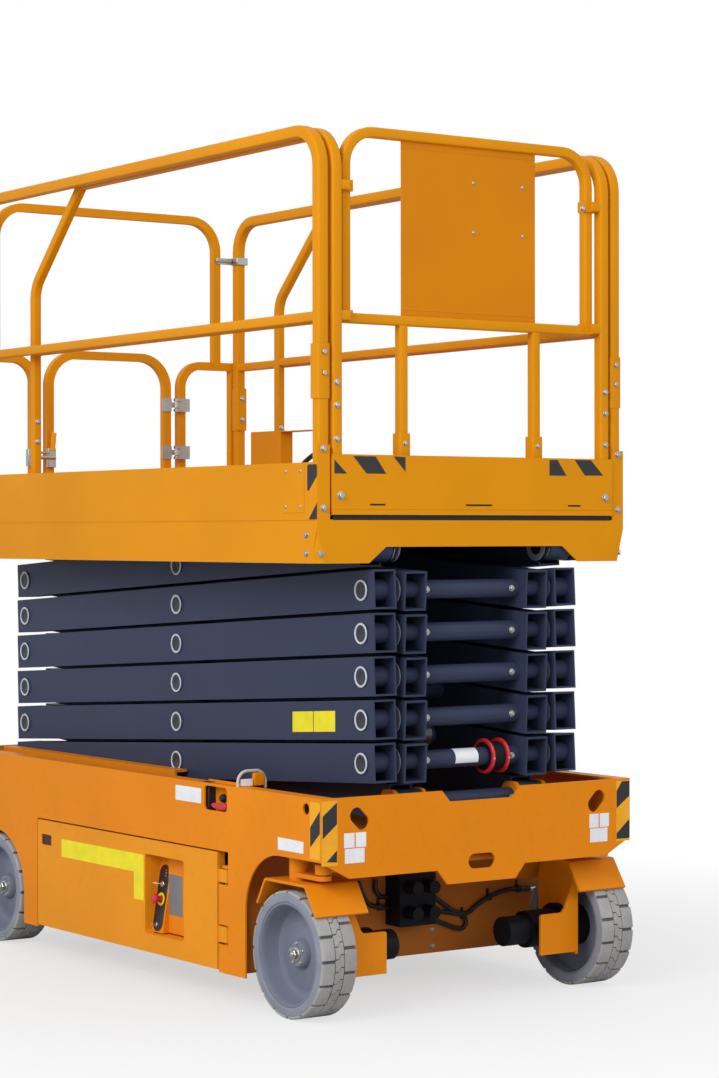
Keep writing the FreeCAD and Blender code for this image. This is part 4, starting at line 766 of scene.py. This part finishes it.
RAIL_TUBE, EXTENSION_TUBE, THIN_TUBE = 0.036, 0.034, 0.030
RAIL_TOP, MID_RAIL, FLOOR = 2.652, 2.080, 1.500
RAIL_Y, EXTENSION_Y = 0.558, 0.511
RAIL_FRONT, RAIL_BACK = 1.180, -1.0315
RAIL_BEND, KINK_BEND, FRAME_BEND = 0.112, 0.100, 0.100
POST_FRONT = 1.185
KINK_X, KINK_Z, KINK_TOP_X = -0.675, 2.305, -0.345
FRAME_X, FRAME_HALF, LEG_Y = 1.165, 0.464, 0.254
FRAME_TUBE, CLAMP_TUBE, CLAMP_HALF = 0.031, 0.0305, 0.017
SLEEVE_LOW, SLEEVE_TOP, SLEEVE_TUBE = 1.838, 2.000, 0.043
COLLAR_LOW, COLLAR_TOP, COLLAR_TUBE = 1.672, 1.742, 0.040
ACROSS, ALONG = LEFT, AHEAD


def side_rail(name, side):
    """A main side rail: bent top tube with its posts, middle rail, and a sleeve on each post."""
    y = side * RAIL_Y
    top = RAIL_TOP - RAIL_TUBE / 2
    hoop = [(RAIL_BACK, y, FLOOR), (RAIL_BACK, y, top), (RAIL_FRONT, y, top), (RAIL_FRONT, y, FLOOR)]
    shape = Shape()
    shape.square_tube(bent(hoop, (RAIL_BEND, RAIL_BEND)), ACROSS, RAIL_TUBE)
    shape.bar((RAIL_BACK, y, MID_RAIL), (RAIL_FRONT, y, MID_RAIL), ACROSS, THIN_TUBE)
    for x in (RAIL_BACK + 0.0025, RAIL_FRONT - 0.0015):
        shape.bar((x, y, SLEEVE_LOW), (x, y, SLEEVE_TOP), ACROSS, SLEEVE_TUBE)
    piece = shape.done("main_rail_" + name, "platform", AMBER, 0, "rail_paint")
    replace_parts(piece, "side_rail_" + name)


def extension_rails():
    """The extension's side rails with kinked rear posts, and its end frame on two legs."""
    shape = Shape()
    top = RAIL_TOP - 0.004 - EXTENSION_TUBE / 2
    foot, low_tube = FLOOR + 0.010, FLOOR + 0.0165
    for side in (-1, 1):
        y = side * EXTENSION_Y
        rail = [(POST_FRONT, y, foot), (POST_FRONT, y, top), (KINK_TOP_X - 0.02, y, top)]
        shape.square_tube(bent(rail, (RAIL_BEND,)), ACROSS, EXTENSION_TUBE)
        kinked = [(KINK_TOP_X, y, top - 0.008), (KINK_X, y, KINK_Z), (KINK_X, y, FLOOR + 0.017)]
        shape.square_tube(bent(kinked, (KINK_BEND,)), ACROSS, THIN_TUBE)
        shape.bar((KINK_X, y, MID_RAIL), (POST_FRONT, y, MID_RAIL), ACROSS, THIN_TUBE - 0.0015)
        shape.bar((KINK_X - 0.015, y, low_tube), (0.240, y, low_tube), ACROSS, THIN_TUBE)
        for z in (2.085, 2.470):
            shape.bar((POST_FRONT, side * FRAME_HALF, z), (POST_FRONT, y, z), ALONG, CLAMP_TUBE)
            low, high = sorted((side * (FRAME_HALF - 0.018), side * 0.494))
            shape.block((FRAME_X - 0.018, low, z - CLAMP_HALF), (POST_FRONT + 0.003, high, z + CLAMP_HALF))
        leg = side * LEG_Y
        shape.bar((FRAME_X, leg, foot), (FRAME_X, leg, MID_RAIL - 0.014), ALONG, THIN_TUBE)
        shape.bar((FRAME_X, leg, COLLAR_LOW), (FRAME_X, leg, COLLAR_TOP), ALONG, COLLAR_TUBE)
    frame_top = RAIL_TOP - FRAME_TUBE / 2
    half = FRAME_HALF
    hoop = [(FRAME_X, -half, MID_RAIL), (FRAME_X, -half, frame_top), (FRAME_X, half, frame_top),
            (FRAME_X, half, MID_RAIL)]
    shape.square_tube(bent(hoop, (FRAME_BEND, FRAME_BEND)), ALONG, FRAME_TUBE)
    half += FRAME_TUBE / 2
    shape.bar((FRAME_X, -half, MID_RAIL), (FRAME_X, half, MID_RAIL), ALONG, THIN_TUBE)
    piece = shape.done("extension_frame", "extension", AMBER, 0, "rail_paint")
    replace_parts(piece, "extension_rails")


def end_panel():
    """The sheet in the end frame, from its middle tube to its top tube, with a fold line at each edge."""
    half, low, high, face = 0.257, MID_RAIL + 0.0145, RAIL_TOP - 0.0305, FRAME_X + 0.0035
    sheet, fold_in = 0.003, 0.020
    shape = Shape()
    shape.plate([(face - sheet, y, z) for y, z in rectangle(-half, low, half, high)], (sheet, 0, 0))
    for z in (low + fold_in, high - fold_in):
        shape.skin([[(face - 0.001, y, z - 0.004), (face + 0.0013, y, z), (face - 0.001, y, z + 0.004)]
                    for y in both(half)])
    piece = shape.done("end_sheet", "extension", PANEL_PAINT, 0.0008, "rail_paint")
    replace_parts(piece, "end_panel")
    rivets("panel_rivets", "extension",
           [((face, y, z), AHEAD, 0.006) for y in (0.015, 0.206) for z in (2.362, 2.513)])


for side, name in SIDES:
    side_rail(name, side)
extension_rails()
end_panel()

# Bolts that face ahead: name, body, place along, places across, heights and half width
for name, body, x, across, heights, size in (
    ("rail_bolts", "platform", 1.198, both(RAIL_Y), (1.975, 1.913), 0.0088),
    ("extension_bolts", "extension", POST_FRONT + 0.017, both(0.514), (1.886, 1.819, 1.720), 0.008),
    ("clamp_bolts", "extension", POST_FRONT - 0.002, (FRAME_HALF - 0.027,), (2.463,), 0.0085),
    ("leg_bolts", "extension", FRAME_X + 0.020, both(LEG_Y), (1.712,), 0.0065),
    ("post_bolts", "platform", RAIL_BACK + 0.025, both(RAIL_Y), (1.960, 1.880), 0.008),
    ("kink_bolts", "extension", KINK_X + 0.015, both(EXTENSION_Y), (1.835, 1.765), 0.008),
):
    bolts(name, body, [((x, y, z), AHEAD, size) for y in across for z in heights])

# Chassis


def chassis_film(name, look, outlines, side=-1, body="chassis", lift=FILM_THICK):
    """Films on a chassis side, as outlines of (place along, height)."""
    return film(name, body, look, [[(x, side * CHASSIS_HALF, z) for x, z in line] for line in outlines],
                (0, side * lift, 0))


def front_film(name, look, outlines, lift=FILM_THICK):
    """Films on the chassis's front, as outlines of (place across, height)."""
    return film(name, "chassis", look,
                [[(CHASSIS_FRONT, y, z) for y, z in line] for line in outlines], (lift, 0, 0))


# A dark brown fill painted as the shade in the pocket of each door's latch
for side, name in SIDES:
    floor = side * (CHASSIS_HALF - 0.0242)
    pocket = [(x, floor, z) for x, z in rectangle(-0.4885, 0.3745, -0.4195, 0.4095)]
    film("latch_pocket_door_" + name, "door_" + name, POCKET_SHADE, [pocket], (0, side * 0.0205, 0))

# Hazard stripes on amber patches that lie lower than they do, and blank labels
PATCH_THICK = 0.0003
SIDE_STRIPE = [(1.171, 0.580), (1.222, 0.632), (1.222, 0.565), (1.171, 0.521)]
for side, name in SIDES:
    chassis_film("side_patch_" + name, STRIPE_AMBER, [rectangle(1.1685, 0.487, 1.2225, 0.655)], side,
                 lift=PATCH_THICK)
    chassis_film("side_stripe_" + name, FILM_BLACK, [SIDE_STRIPE], side)
front_film("front_patches", STRIPE_AMBER, [
    rectangle(-0.5885, 0.470, -0.532, 0.660), rectangle(0.534, 0.470, 0.5885, 0.660)], PATCH_THICK)
front_film("front_stripes", FILM_BLACK, [
    [(-0.585, 0.616), (-0.534, 0.655), (-0.534, 0.591), (-0.585, 0.550)],
    [(-0.571, 0.482), (-0.534, 0.515), (-0.534, 0.479)],
    [(0.535, 0.628), (0.557, 0.658), (0.588, 0.658), (0.588, 0.611), (0.535, 0.574)],
    [(0.535, 0.495), (0.588, 0.538), (0.588, 0.477), (0.535, 0.477)],
])
front_film("front_labels", FILM_WHITE, [
    label for y in (-0.509, 0.424) for label in (
        rectangle(y, 0.519, y + 0.037, 0.562), rectangle(y + 0.042, 0.519, y + 0.079, 0.562),
        rectangle(y + 0.003, 0.473, y + 0.073, 0.516))
])
chassis_film("side_label_long", FILM_WHITE, [
    [(0.998, 0.499), (1.135, 0.499), (1.135, 0.534), (0.998, 0.536)]])
chassis_film("side_label_wide", FILM_WHITE, [rectangle(0.406, 0.600, 0.560, 0.647)])
chassis_film("side_label_yellow", FILM_YELLOW, [
    [(-0.346, 0.345), (0.143, 0.345), (0.143, 0.257), (0.205, 0.257), (0.205, 0.405), (-0.346, 0.405)]],
    body="door_right")

# The ground controls in the right door's recess: a sloped desk, and beside it a box with a plate
LEAN = math.radians(9)
DESK_OUT = Vector((0, -math.cos(LEAN), math.sin(LEAN)))
DESK_UP = Vector((0, math.sin(LEAN), math.cos(LEAN)))
DESK_MID = Vector((0.2515, -0.5490, 0.268))
DESK_BACK, BOX_FACE = RECESS_BACK + 0.001, -0.5455
DESK_SECTION = ((DESK_BACK, 0.402), (-0.529, 0.400), (-0.5680, 0.158), (DESK_BACK, 0.157))
desk = Shape()
desk.skin([[(x, y, z) for y, z in DESK_SECTION] for x in (0.2155, 0.288)])
desk.block((0.2875, BOX_FACE, 0.1595), (0.4535, DESK_BACK, 0.4055))
desk.done("control_desk", "door_right", ORANGE, 0.0015, "chassis_paint")


def desk_point(along, up, out):
    """A point on the desk's face, from its middle."""
    return DESK_MID + Vector((along, 0, 0)) + DESK_UP * up + DESK_OUT * out


# Controls on the desk, as (along, up) from its middle: a long round-ended panel carries them
PANEL_ROUND, PANEL_HALF, PANEL_STEP = 0.0295, 0.078, 15
STOP_AT, KEY_AT, TOGGLE_AT = (0.002, -0.004), (0.003, 0.044), (-0.004, -0.087)
outline = []
for centre, start in ((PANEL_HALF, 0), (-PANEL_HALF, 180)):
    for degrees in range(start, start + 181, PANEL_STEP):
        turn = math.radians(degrees)
        along, up = PANEL_ROUND * math.cos(turn), centre + PANEL_ROUND * math.sin(turn)
        outline.append(desk_point(along, up, -0.001))
film("control_panel", "door_right", BLACK, [outline], DESK_OUT * 0.004, 0.0008)
stop_ring = Shape()
stop_ring.hoop(desk_point(*STOP_AT, 0.003), DESK_OUT, [
    (0, 0.021), (0.0015, 0.021), (0.0015, 0.013), (0, 0.013)], 32)
stop_ring.done("stop_ring", "door_right", FILM_YELLOW, 0)
stop = Shape()
stop.turned(desk_point(*STOP_AT, 0.002), DESK_OUT, [
    (0, 0.010), (0.016, 0.010), (0.018, 0.015), (0.026, 0.0165), (0.031, 0.014), (0.033, 0.008)], 28)
stop.done("stop_button", "door_right", RED, 0.0004)
switches = Shape()
switches.turned(desk_point(*KEY_AT, 0.002), DESK_OUT, [(0, 0.011), (0.006, 0.011), (0.008, 0.009)], 24)
switches.turned(desk_point(*TOGGLE_AT, 0.002), DESK_OUT, [
    (0, 0.008), (0.004, 0.008), (0.006, 0.005), (0.019, 0.0035)], 20)
for up in (0.070, 0.079, 0.088):
    bar = rectangle(0.010, up, 0.018, up + 0.005)
    switches.plate([desk_point(x, z, 0.003) for x, z in bar], DESK_OUT * 0.003)
switches.done("control_switches", "door_right", PLATED, 0.0004, "plated")
KEY_OUTLINE = ((-0.004, 0.007), (0.004, 0.007), (0.004, 0.018), (0.011, 0.022), (0.011, 0.034),
               (-0.011, 0.034), (-0.011, 0.022), (-0.004, 0.018))
film("control_key", "door_right", FILM_WHITE,
     [[desk_point(x, KEY_AT[1], out) for x, out in KEY_OUTLINE]], DESK_UP * 0.0025, 0.0004, "plated")
rivets("control_screws", "door_right", [
    (desk_point(x, up, 0.0), DESK_OUT, 0.004)
    for x, up in ((-0.028, 0.118), (0.030, 0.108), (-0.028, -0.114), (0.031, -0.050))
])
film("control_plate", "door_right", FILM_GREY,
     [[(x, BOX_FACE, z) for x, z in rectangle(0.2915, 0.219, 0.3745, 0.349)]], (0, -0.0006, 0))
rivets("recess_screws", "door_right", [((x, BOX_FACE, 0.178), RIGHT, 0.0035) for x in (0.330, 0.420)])

# The battery switch and its key behind the window in the chassis's right side
SWITCH_FACE = -0.553
housing = Shape()
housing.block((0.545, -0.5795, 0.576), (0.589, SWITCH_FACE, 0.668))
housing.turned((0.641, SWITCH_FACE, 0.621), RIGHT, [
    (0, 0.013), (0.008, 0.013), (0.010, 0.0115), (0.016, 0.010)], 20)
housing.done("switch_housing", "chassis", BLACK, 0.002)
blocks("switch_bracket", "chassis", ORANGE,
       [((0.545, SWITCH_FACE, 0.570), (0.745, SWITCH_FACE + 0.004, 0.674))], 0.001, "chassis_paint")
RED_KEY = ((0.603, 0.601), (0.615, 0.591), (0.632, 0.588), (0.655, 0.585), (0.688, 0.589),
           (0.692, 0.598), (0.686, 0.609), (0.664, 0.611), (0.640, 0.606), (0.620, 0.607))
film("isolator_key", "chassis", RED, [[(x, -0.583, z) for x, z in RED_KEY]], (0, 0.010, 0), 0.003)

# Front end

bolts("bulkhead_bolts", "chassis",
      [((BULKHEAD, y, z), AHEAD, 0.007) for y in both(0.129) for z in (0.176, 0.123)])
KING_WASHER = [(0, 0.0375), (0.004, 0.0375), (0.004, 0.0302), (0, 0.0302)]
for side, name in SIDES:
    wheel = Wheel("front_" + name)
    king_y = wheel.face - side * wheel.width / 2
    washer = Shape()
    washer.hoop((wheel.x - 0.027, king_y, 0.401), UP, KING_WASHER, 40)
    washer.done("king_washer_" + name, "knuckle_" + name, PLATED, 0.0006, "plated")


def rounded_path(points, steps=6):
    """Points along a smooth curve that passes through the given ones."""
    points = [Vector(p) for p in points]
    path = []
    for i in range(len(points) - 1):
        before, start, end, after = (points[max(0, min(len(points) - 1, i + k))] for k in (-1, 0, 1, 2))
        slope = end - before
        bow = 2 * before - 5 * start + 4 * end - after
        twist = 3 * start - before - 3 * end + after
        for step in range(steps):
            t = step / steps
            path.append(0.5 * (2 * start + slope * t + bow * t ** 2 + twist * t ** 3))
    return path + [points[-1]]


# Hydraulic hoses, clipped to the bulkhead all the way, as routes of (place across, height)
HOSE_RADIUS = 0.0075
HOSE_FACE = BULKHEAD + HOSE_RADIUS + 0.003
RIGHT_HOSE = ((-0.168, 0.351), (-0.145, 0.300), (-0.116, 0.272), (-0.053, 0.260), (0.014, 0.244),
              (0.092, 0.223), (0.150, 0.198), (0.205, 0.176), (0.242, 0.170), (0.256, 0.188),
              (0.246, 0.210), (0.205, 0.222), (0.150, 0.232), (0.105, 0.242))
LOOP_HOSE = ((-0.022, 0.352), (-0.025, 0.316), (-0.045, 0.297), (-0.078, 0.297), (-0.099, 0.318),
             (-0.100, 0.352))
LEFT_HOSE = ((0.105, 0.300), (0.160, 0.258), (0.215, 0.226), (0.262, 0.218), (0.300, 0.240),
             (0.350, 0.263), (0.428, 0.280), (0.520, 0.276))
CLIPS = ((-0.085, 0.265), (0.092, 0.223), (0.246, 0.210), (0.350, 0.263), (0.470, 0.280))
CLIP_HALF, CLIP_RISE, CLIP_TAB = 0.006, 0.011, 0.027


def hose_path(route):
    return rounded_path([(HOSE_FACE, y, z) for y, z in route])


hoses = Shape()
for route in (RIGHT_HOSE, LOOP_HOSE, LEFT_HOSE):
    hoses.tube(hose_path(route), HOSE_RADIUS, 14)
hoses.done("hoses", "chassis", HOSE)
clips = []
for y, z in CLIPS:
    low, high = y - CLIP_HALF, y + CLIP_HALF
    clips += [
        ((BULKHEAD, low, z - CLIP_RISE), (HOSE_FACE + HOSE_RADIUS + 0.0015, high, z + CLIP_RISE)),
        ((BULKHEAD, low, z + CLIP_RISE), (BULKHEAD + 0.002, high, z + CLIP_TAB)),
    ]
blocks("hose_clips", "chassis", BLACK, clips, 0.0015)
elbow = Shape()
elbow.tube(hose_path(((0.516, 0.276), (0.552, 0.274), (0.578, 0.270))), 0.0092, 16)
elbow.tube(hose_path(((0.560, 0.240), (0.560, 0.215))), 0.006, 12)
elbow.done("hose_elbow", "chassis", PLATED, 0, "plated")

# Lifting rings of bent bar, each with a tab and a blank label inside
RING_X, RING_LOW, RING_TOP, RING_BEND, RING_BAR = 0.765, 0.660, 0.7145, 0.034, 0.0048
TAB_LOW = 0.668
rings = Shape()
for side in (-1, 1):
    near, far = side * 0.5835, side * 0.4835
    corners = ((near, RING_LOW), (near, RING_TOP), (far, RING_TOP), (far, RING_LOW))
    rings.tube(bent([(RING_X, y, z) for y, z in corners], (RING_BEND, RING_BEND)), RING_BAR, 14)
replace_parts(rings.done("ring_bars", "chassis", GALVANIZED, 0, "chassis_paint"), "lifting_rings")
for side, name in SIDES:
    low, high = sorted((side * 0.492, side * 0.528))
    blocks("ring_tab_" + name, "chassis", ORANGE,
           [((RING_X - 0.008, low, TAB_LOW), (RING_X + 0.008, high, 0.7075))], 0.002, "chassis_paint")
    low, high = sorted((side * 0.532, side * 0.572))
    blocks("ring_label_" + name, "chassis", FILM_WHITE,
           [((RING_X - 0.005, low, TAB_LOW), (RING_X + 0.005, high, 0.6895))], 0.001)

# The gate's latch: two plates, a bolt with its knob, a thin rod above it and a flat handle
LATCH_X, BOLT_Z, KNOB_Y = -1.036, 1.722, -0.325
latch = Shape()
latch.block((-1.050, -0.268, 1.686), (-1.034, -0.236, 1.756))
latch.block((-1.052, -0.352, 1.690), (-1.030, -0.318, 1.752))
latch.tube([(LATCH_X, KNOB_Y, BOLT_Z), (LATCH_X, -0.238, BOLT_Z)], 0.0075, 16)
latch.tube([(LATCH_X, KNOB_Y, 1.740), (LATCH_X, -0.262, 1.740)], 0.005, 12)
latch.turned((LATCH_X, KNOB_Y, BOLT_Z), RIGHT, [
    (0, 0.0075), (0.002, 0.011), (0.012, 0.011), (0.014, 0.008)], 20)
latch.done("gate_latch", "gate", PLATED, 0.0012, "plated")
HANDLE = ((-0.262, 1.748), (-0.242, 1.748), (-0.236, 1.812), (-0.254, 1.818))
film("latch_handle", "gate", STRIPE_AMBER, [[(-1.034, y, z) for y, z in HANDLE]], (0.005, 0, 0), 0.0015)

# Clamps between the rear frame and the side rails: a strap, its screw and a saddle round the post
CLAMP_BACK, CLAMP_Z, CLAMP_OUT = -1.052, 2.488, 0.584
for side, name in SIDES:
    clamp = Shape()
    low, high = sorted((side * 0.468, side * CLAMP_OUT))
    clamp.block((CLAMP_BACK, low, CLAMP_Z - 0.012), (-1.045, high, CLAMP_Z + 0.012))
    clamp.tube([(-1.043, side * 0.462, CLAMP_Z), (-1.043, side * 0.532, CLAMP_Z)], 0.0055, 12)
    low, high = sorted((side * 0.534, side * CLAMP_OUT))
    clamp.block((CLAMP_BACK, low, CLAMP_Z - 0.014), (-1.006, high, CLAMP_Z + 0.014))
    clamp.done("rail_clamp_" + name, "platform", PLATED, 0.002, "plated")

# The platform's control box with a thin plate ahead of it, and its cable down to the floor
BOX_FRONT, BOX_IN, BOX_OUT = -0.489, 0.394, 0.448
CABLE_Y, CABLE_RADIUS = 0.432, 0.009
CABLE_ROUTE = ((-0.470, 1.640), (-0.430, 1.672), (-0.382, 1.702), (-0.330, 1.725), (-0.284, 1.734),
               (-0.227, 1.731), (-0.189, 1.721), (-0.150, 1.690), (-0.125, 1.620), (-0.120, 1.502))
cable = Shape()
cable.tube(rounded_path([(x, CABLE_Y, z) for x, z in CABLE_ROUTE]), CABLE_RADIUS, 14)
cable.done("control_cable", "platform", HOSE)
holder = blocks("holder_box", "platform", AMBER, [
    ((-0.690, BOX_IN, FLOOR), (BOX_FRONT, BOX_OUT, 1.818)),
    ((BOX_FRONT, BOX_IN, 1.812), (-0.310, BOX_OUT, 1.8155)),
], 0.002, "rail_paint")
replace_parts(holder, "control_holder")

# Camera, light and floor

# The camera: focal length in pixels of the frame, place, and yaw, pitch and roll in degrees
FRAME_HIGH, FOCAL_PIXELS, SENSOR = 1078, 2671.3, 36.0
CAMERA_PLACE = (7.6762, -4.9503, 1.4419)
CAMERA_TURN = (34.90, -0.12, 0.06)
WHITE = (1, 1, 1, 1)
SKY, SKY_STRENGTH = (0.93, 0.96, 1.0, 1), 0.62
FLOOR_GREY, FLOOR_REACH = (0.62, 0.62, 0.62, 1), 60.0
WHITE_FROM, WHITE_TO, WHITE_LEAST = 0.6, 3.2, 0.6
LAMP_AIM = (0, 0, 1.2)
LAMPS = (
    ("key", (3.6, -7.4, 5.6), 4.5, 460),
    ("fill", (7.8, 0.6, 4.0), 4.0, 110),
)


def make_camera():
    data = bpy.data.cameras.new("camera")
    data.sensor_fit = "VERTICAL"
    data.sensor_height = SENSOR
    data.sensor_width = SENSOR
    data.lens = FOCAL_PIXELS / FRAME_HIGH * SENSOR
    camera = bpy.data.objects.new("camera", data)
    bpy.context.scene.collection.objects.link(camera)
    bpy.context.scene.camera = camera
    yaw, pitch, roll = (math.radians(turn) for turn in CAMERA_TURN)
    ahead = Vector((-math.cos(yaw) * math.cos(pitch), math.sin(yaw) * math.cos(pitch), math.sin(pitch)))
    right = ahead.cross(Vector(UP)).normalized()
    up = right.cross(ahead)
    turned = Matrix.Rotation(roll, 3, ahead)
    right, up = turned @ right, turned @ up
    camera.matrix_world = Matrix([
        (right[i], up[i], -ahead[i], CAMERA_PLACE[i]) for i in range(3)
    ] + [(0, 0, 0, 1)])


def make_world():
    """A soft sky, plain white where the camera, a mirror or glass sees it directly."""
    world = bpy.data.worlds.new("studio")
    bpy.context.scene.world = world
    world.use_nodes = True
    nodes, links = world.node_tree.nodes, world.node_tree.links
    sky = nodes["Background"]
    sky.inputs["Color"].default_value = SKY
    sky.inputs["Strength"].default_value = SKY_STRENGTH
    path = nodes.new("ShaderNodeLightPath")
    white = nodes.new("ShaderNodeBackground")
    white.inputs["Color"].default_value = WHITE
    white.inputs["Strength"].default_value = 1.0
    seen = path.outputs["Is Camera Ray"]
    for ray in ("Is Glossy Ray", "Is Transmission Ray"):
        either = nodes.new("ShaderNodeMath")
        either.operation = "MAXIMUM"
        links.new(seen, either.inputs[0])
        links.new(path.outputs[ray], either.inputs[1])
        seen = either.outputs[0]
    mix = nodes.new("ShaderNodeMixShader")
    links.new(seen, mix.inputs["Fac"])
    links.new(sky.outputs[0], mix.inputs[1])
    links.new(white.outputs[0], mix.inputs[2])
    links.new(mix.outputs[0], nodes["World Output"].inputs["Surface"])


def make_floor():
    """A pale floor that keeps the shadow near the machine and turns white further out."""
    data = bpy.data.meshes.new("floor")
    far = FLOOR_REACH
    data.from_pydata([(x, y, 0) for x, y in rectangle(-far, -far, far, far)], [], [(0, 1, 2, 3)])
    floor = bpy.data.objects.new("floor", data)
    bpy.context.scene.collection.objects.link(floor)
    look = Shader("pale_floor")
    look.surface.inputs["Base Color"].default_value = FLOOR_GREY
    look.surface.inputs["Roughness"].default_value = 0.9
    distance = look.nodes.new("ShaderNodeVectorMath")
    distance.operation = "LENGTH"
    look.links.new(look.where, distance.inputs[0])
    reach = look.spread(distance.outputs["Value"], WHITE_LEAST, 1.0, WHITE_FROM, WHITE_TO)
    path = look.nodes.new("ShaderNodeLightPath")
    seen = look.math("MULTIPLY", path.outputs["Is Camera Ray"], reach)
    white = look.nodes.new("ShaderNodeEmission")
    mix = look.nodes.new("ShaderNodeMixShader")
    look.links.new(seen, mix.inputs["Fac"])
    look.links.new(look.surface.outputs[0], mix.inputs[1])
    look.links.new(white.outputs[0], mix.inputs[2])
    look.links.new(mix.outputs[0], look.nodes["Material Output"].inputs["Surface"])
    data.materials.append(look.material)


def make_lamps():
    for name, place, size, power in LAMPS:
        lamp = bpy.data.lights.new(name, "AREA")
        lamp.size = size
        lamp.energy = power
        light = bpy.data.objects.new(name, lamp)
        light.location = place
        light.rotation_mode = "QUATERNION"
        light.rotation_quaternion = (Vector(LAMP_AIM) - Vector(place)).to_track_quat("-Z", "Y")
        bpy.context.scene.collection.objects.link(light)


make_camera()
make_world()
make_floor()
make_lamps()
bpy.context.scene.view_settings.view_transform = "Standard"
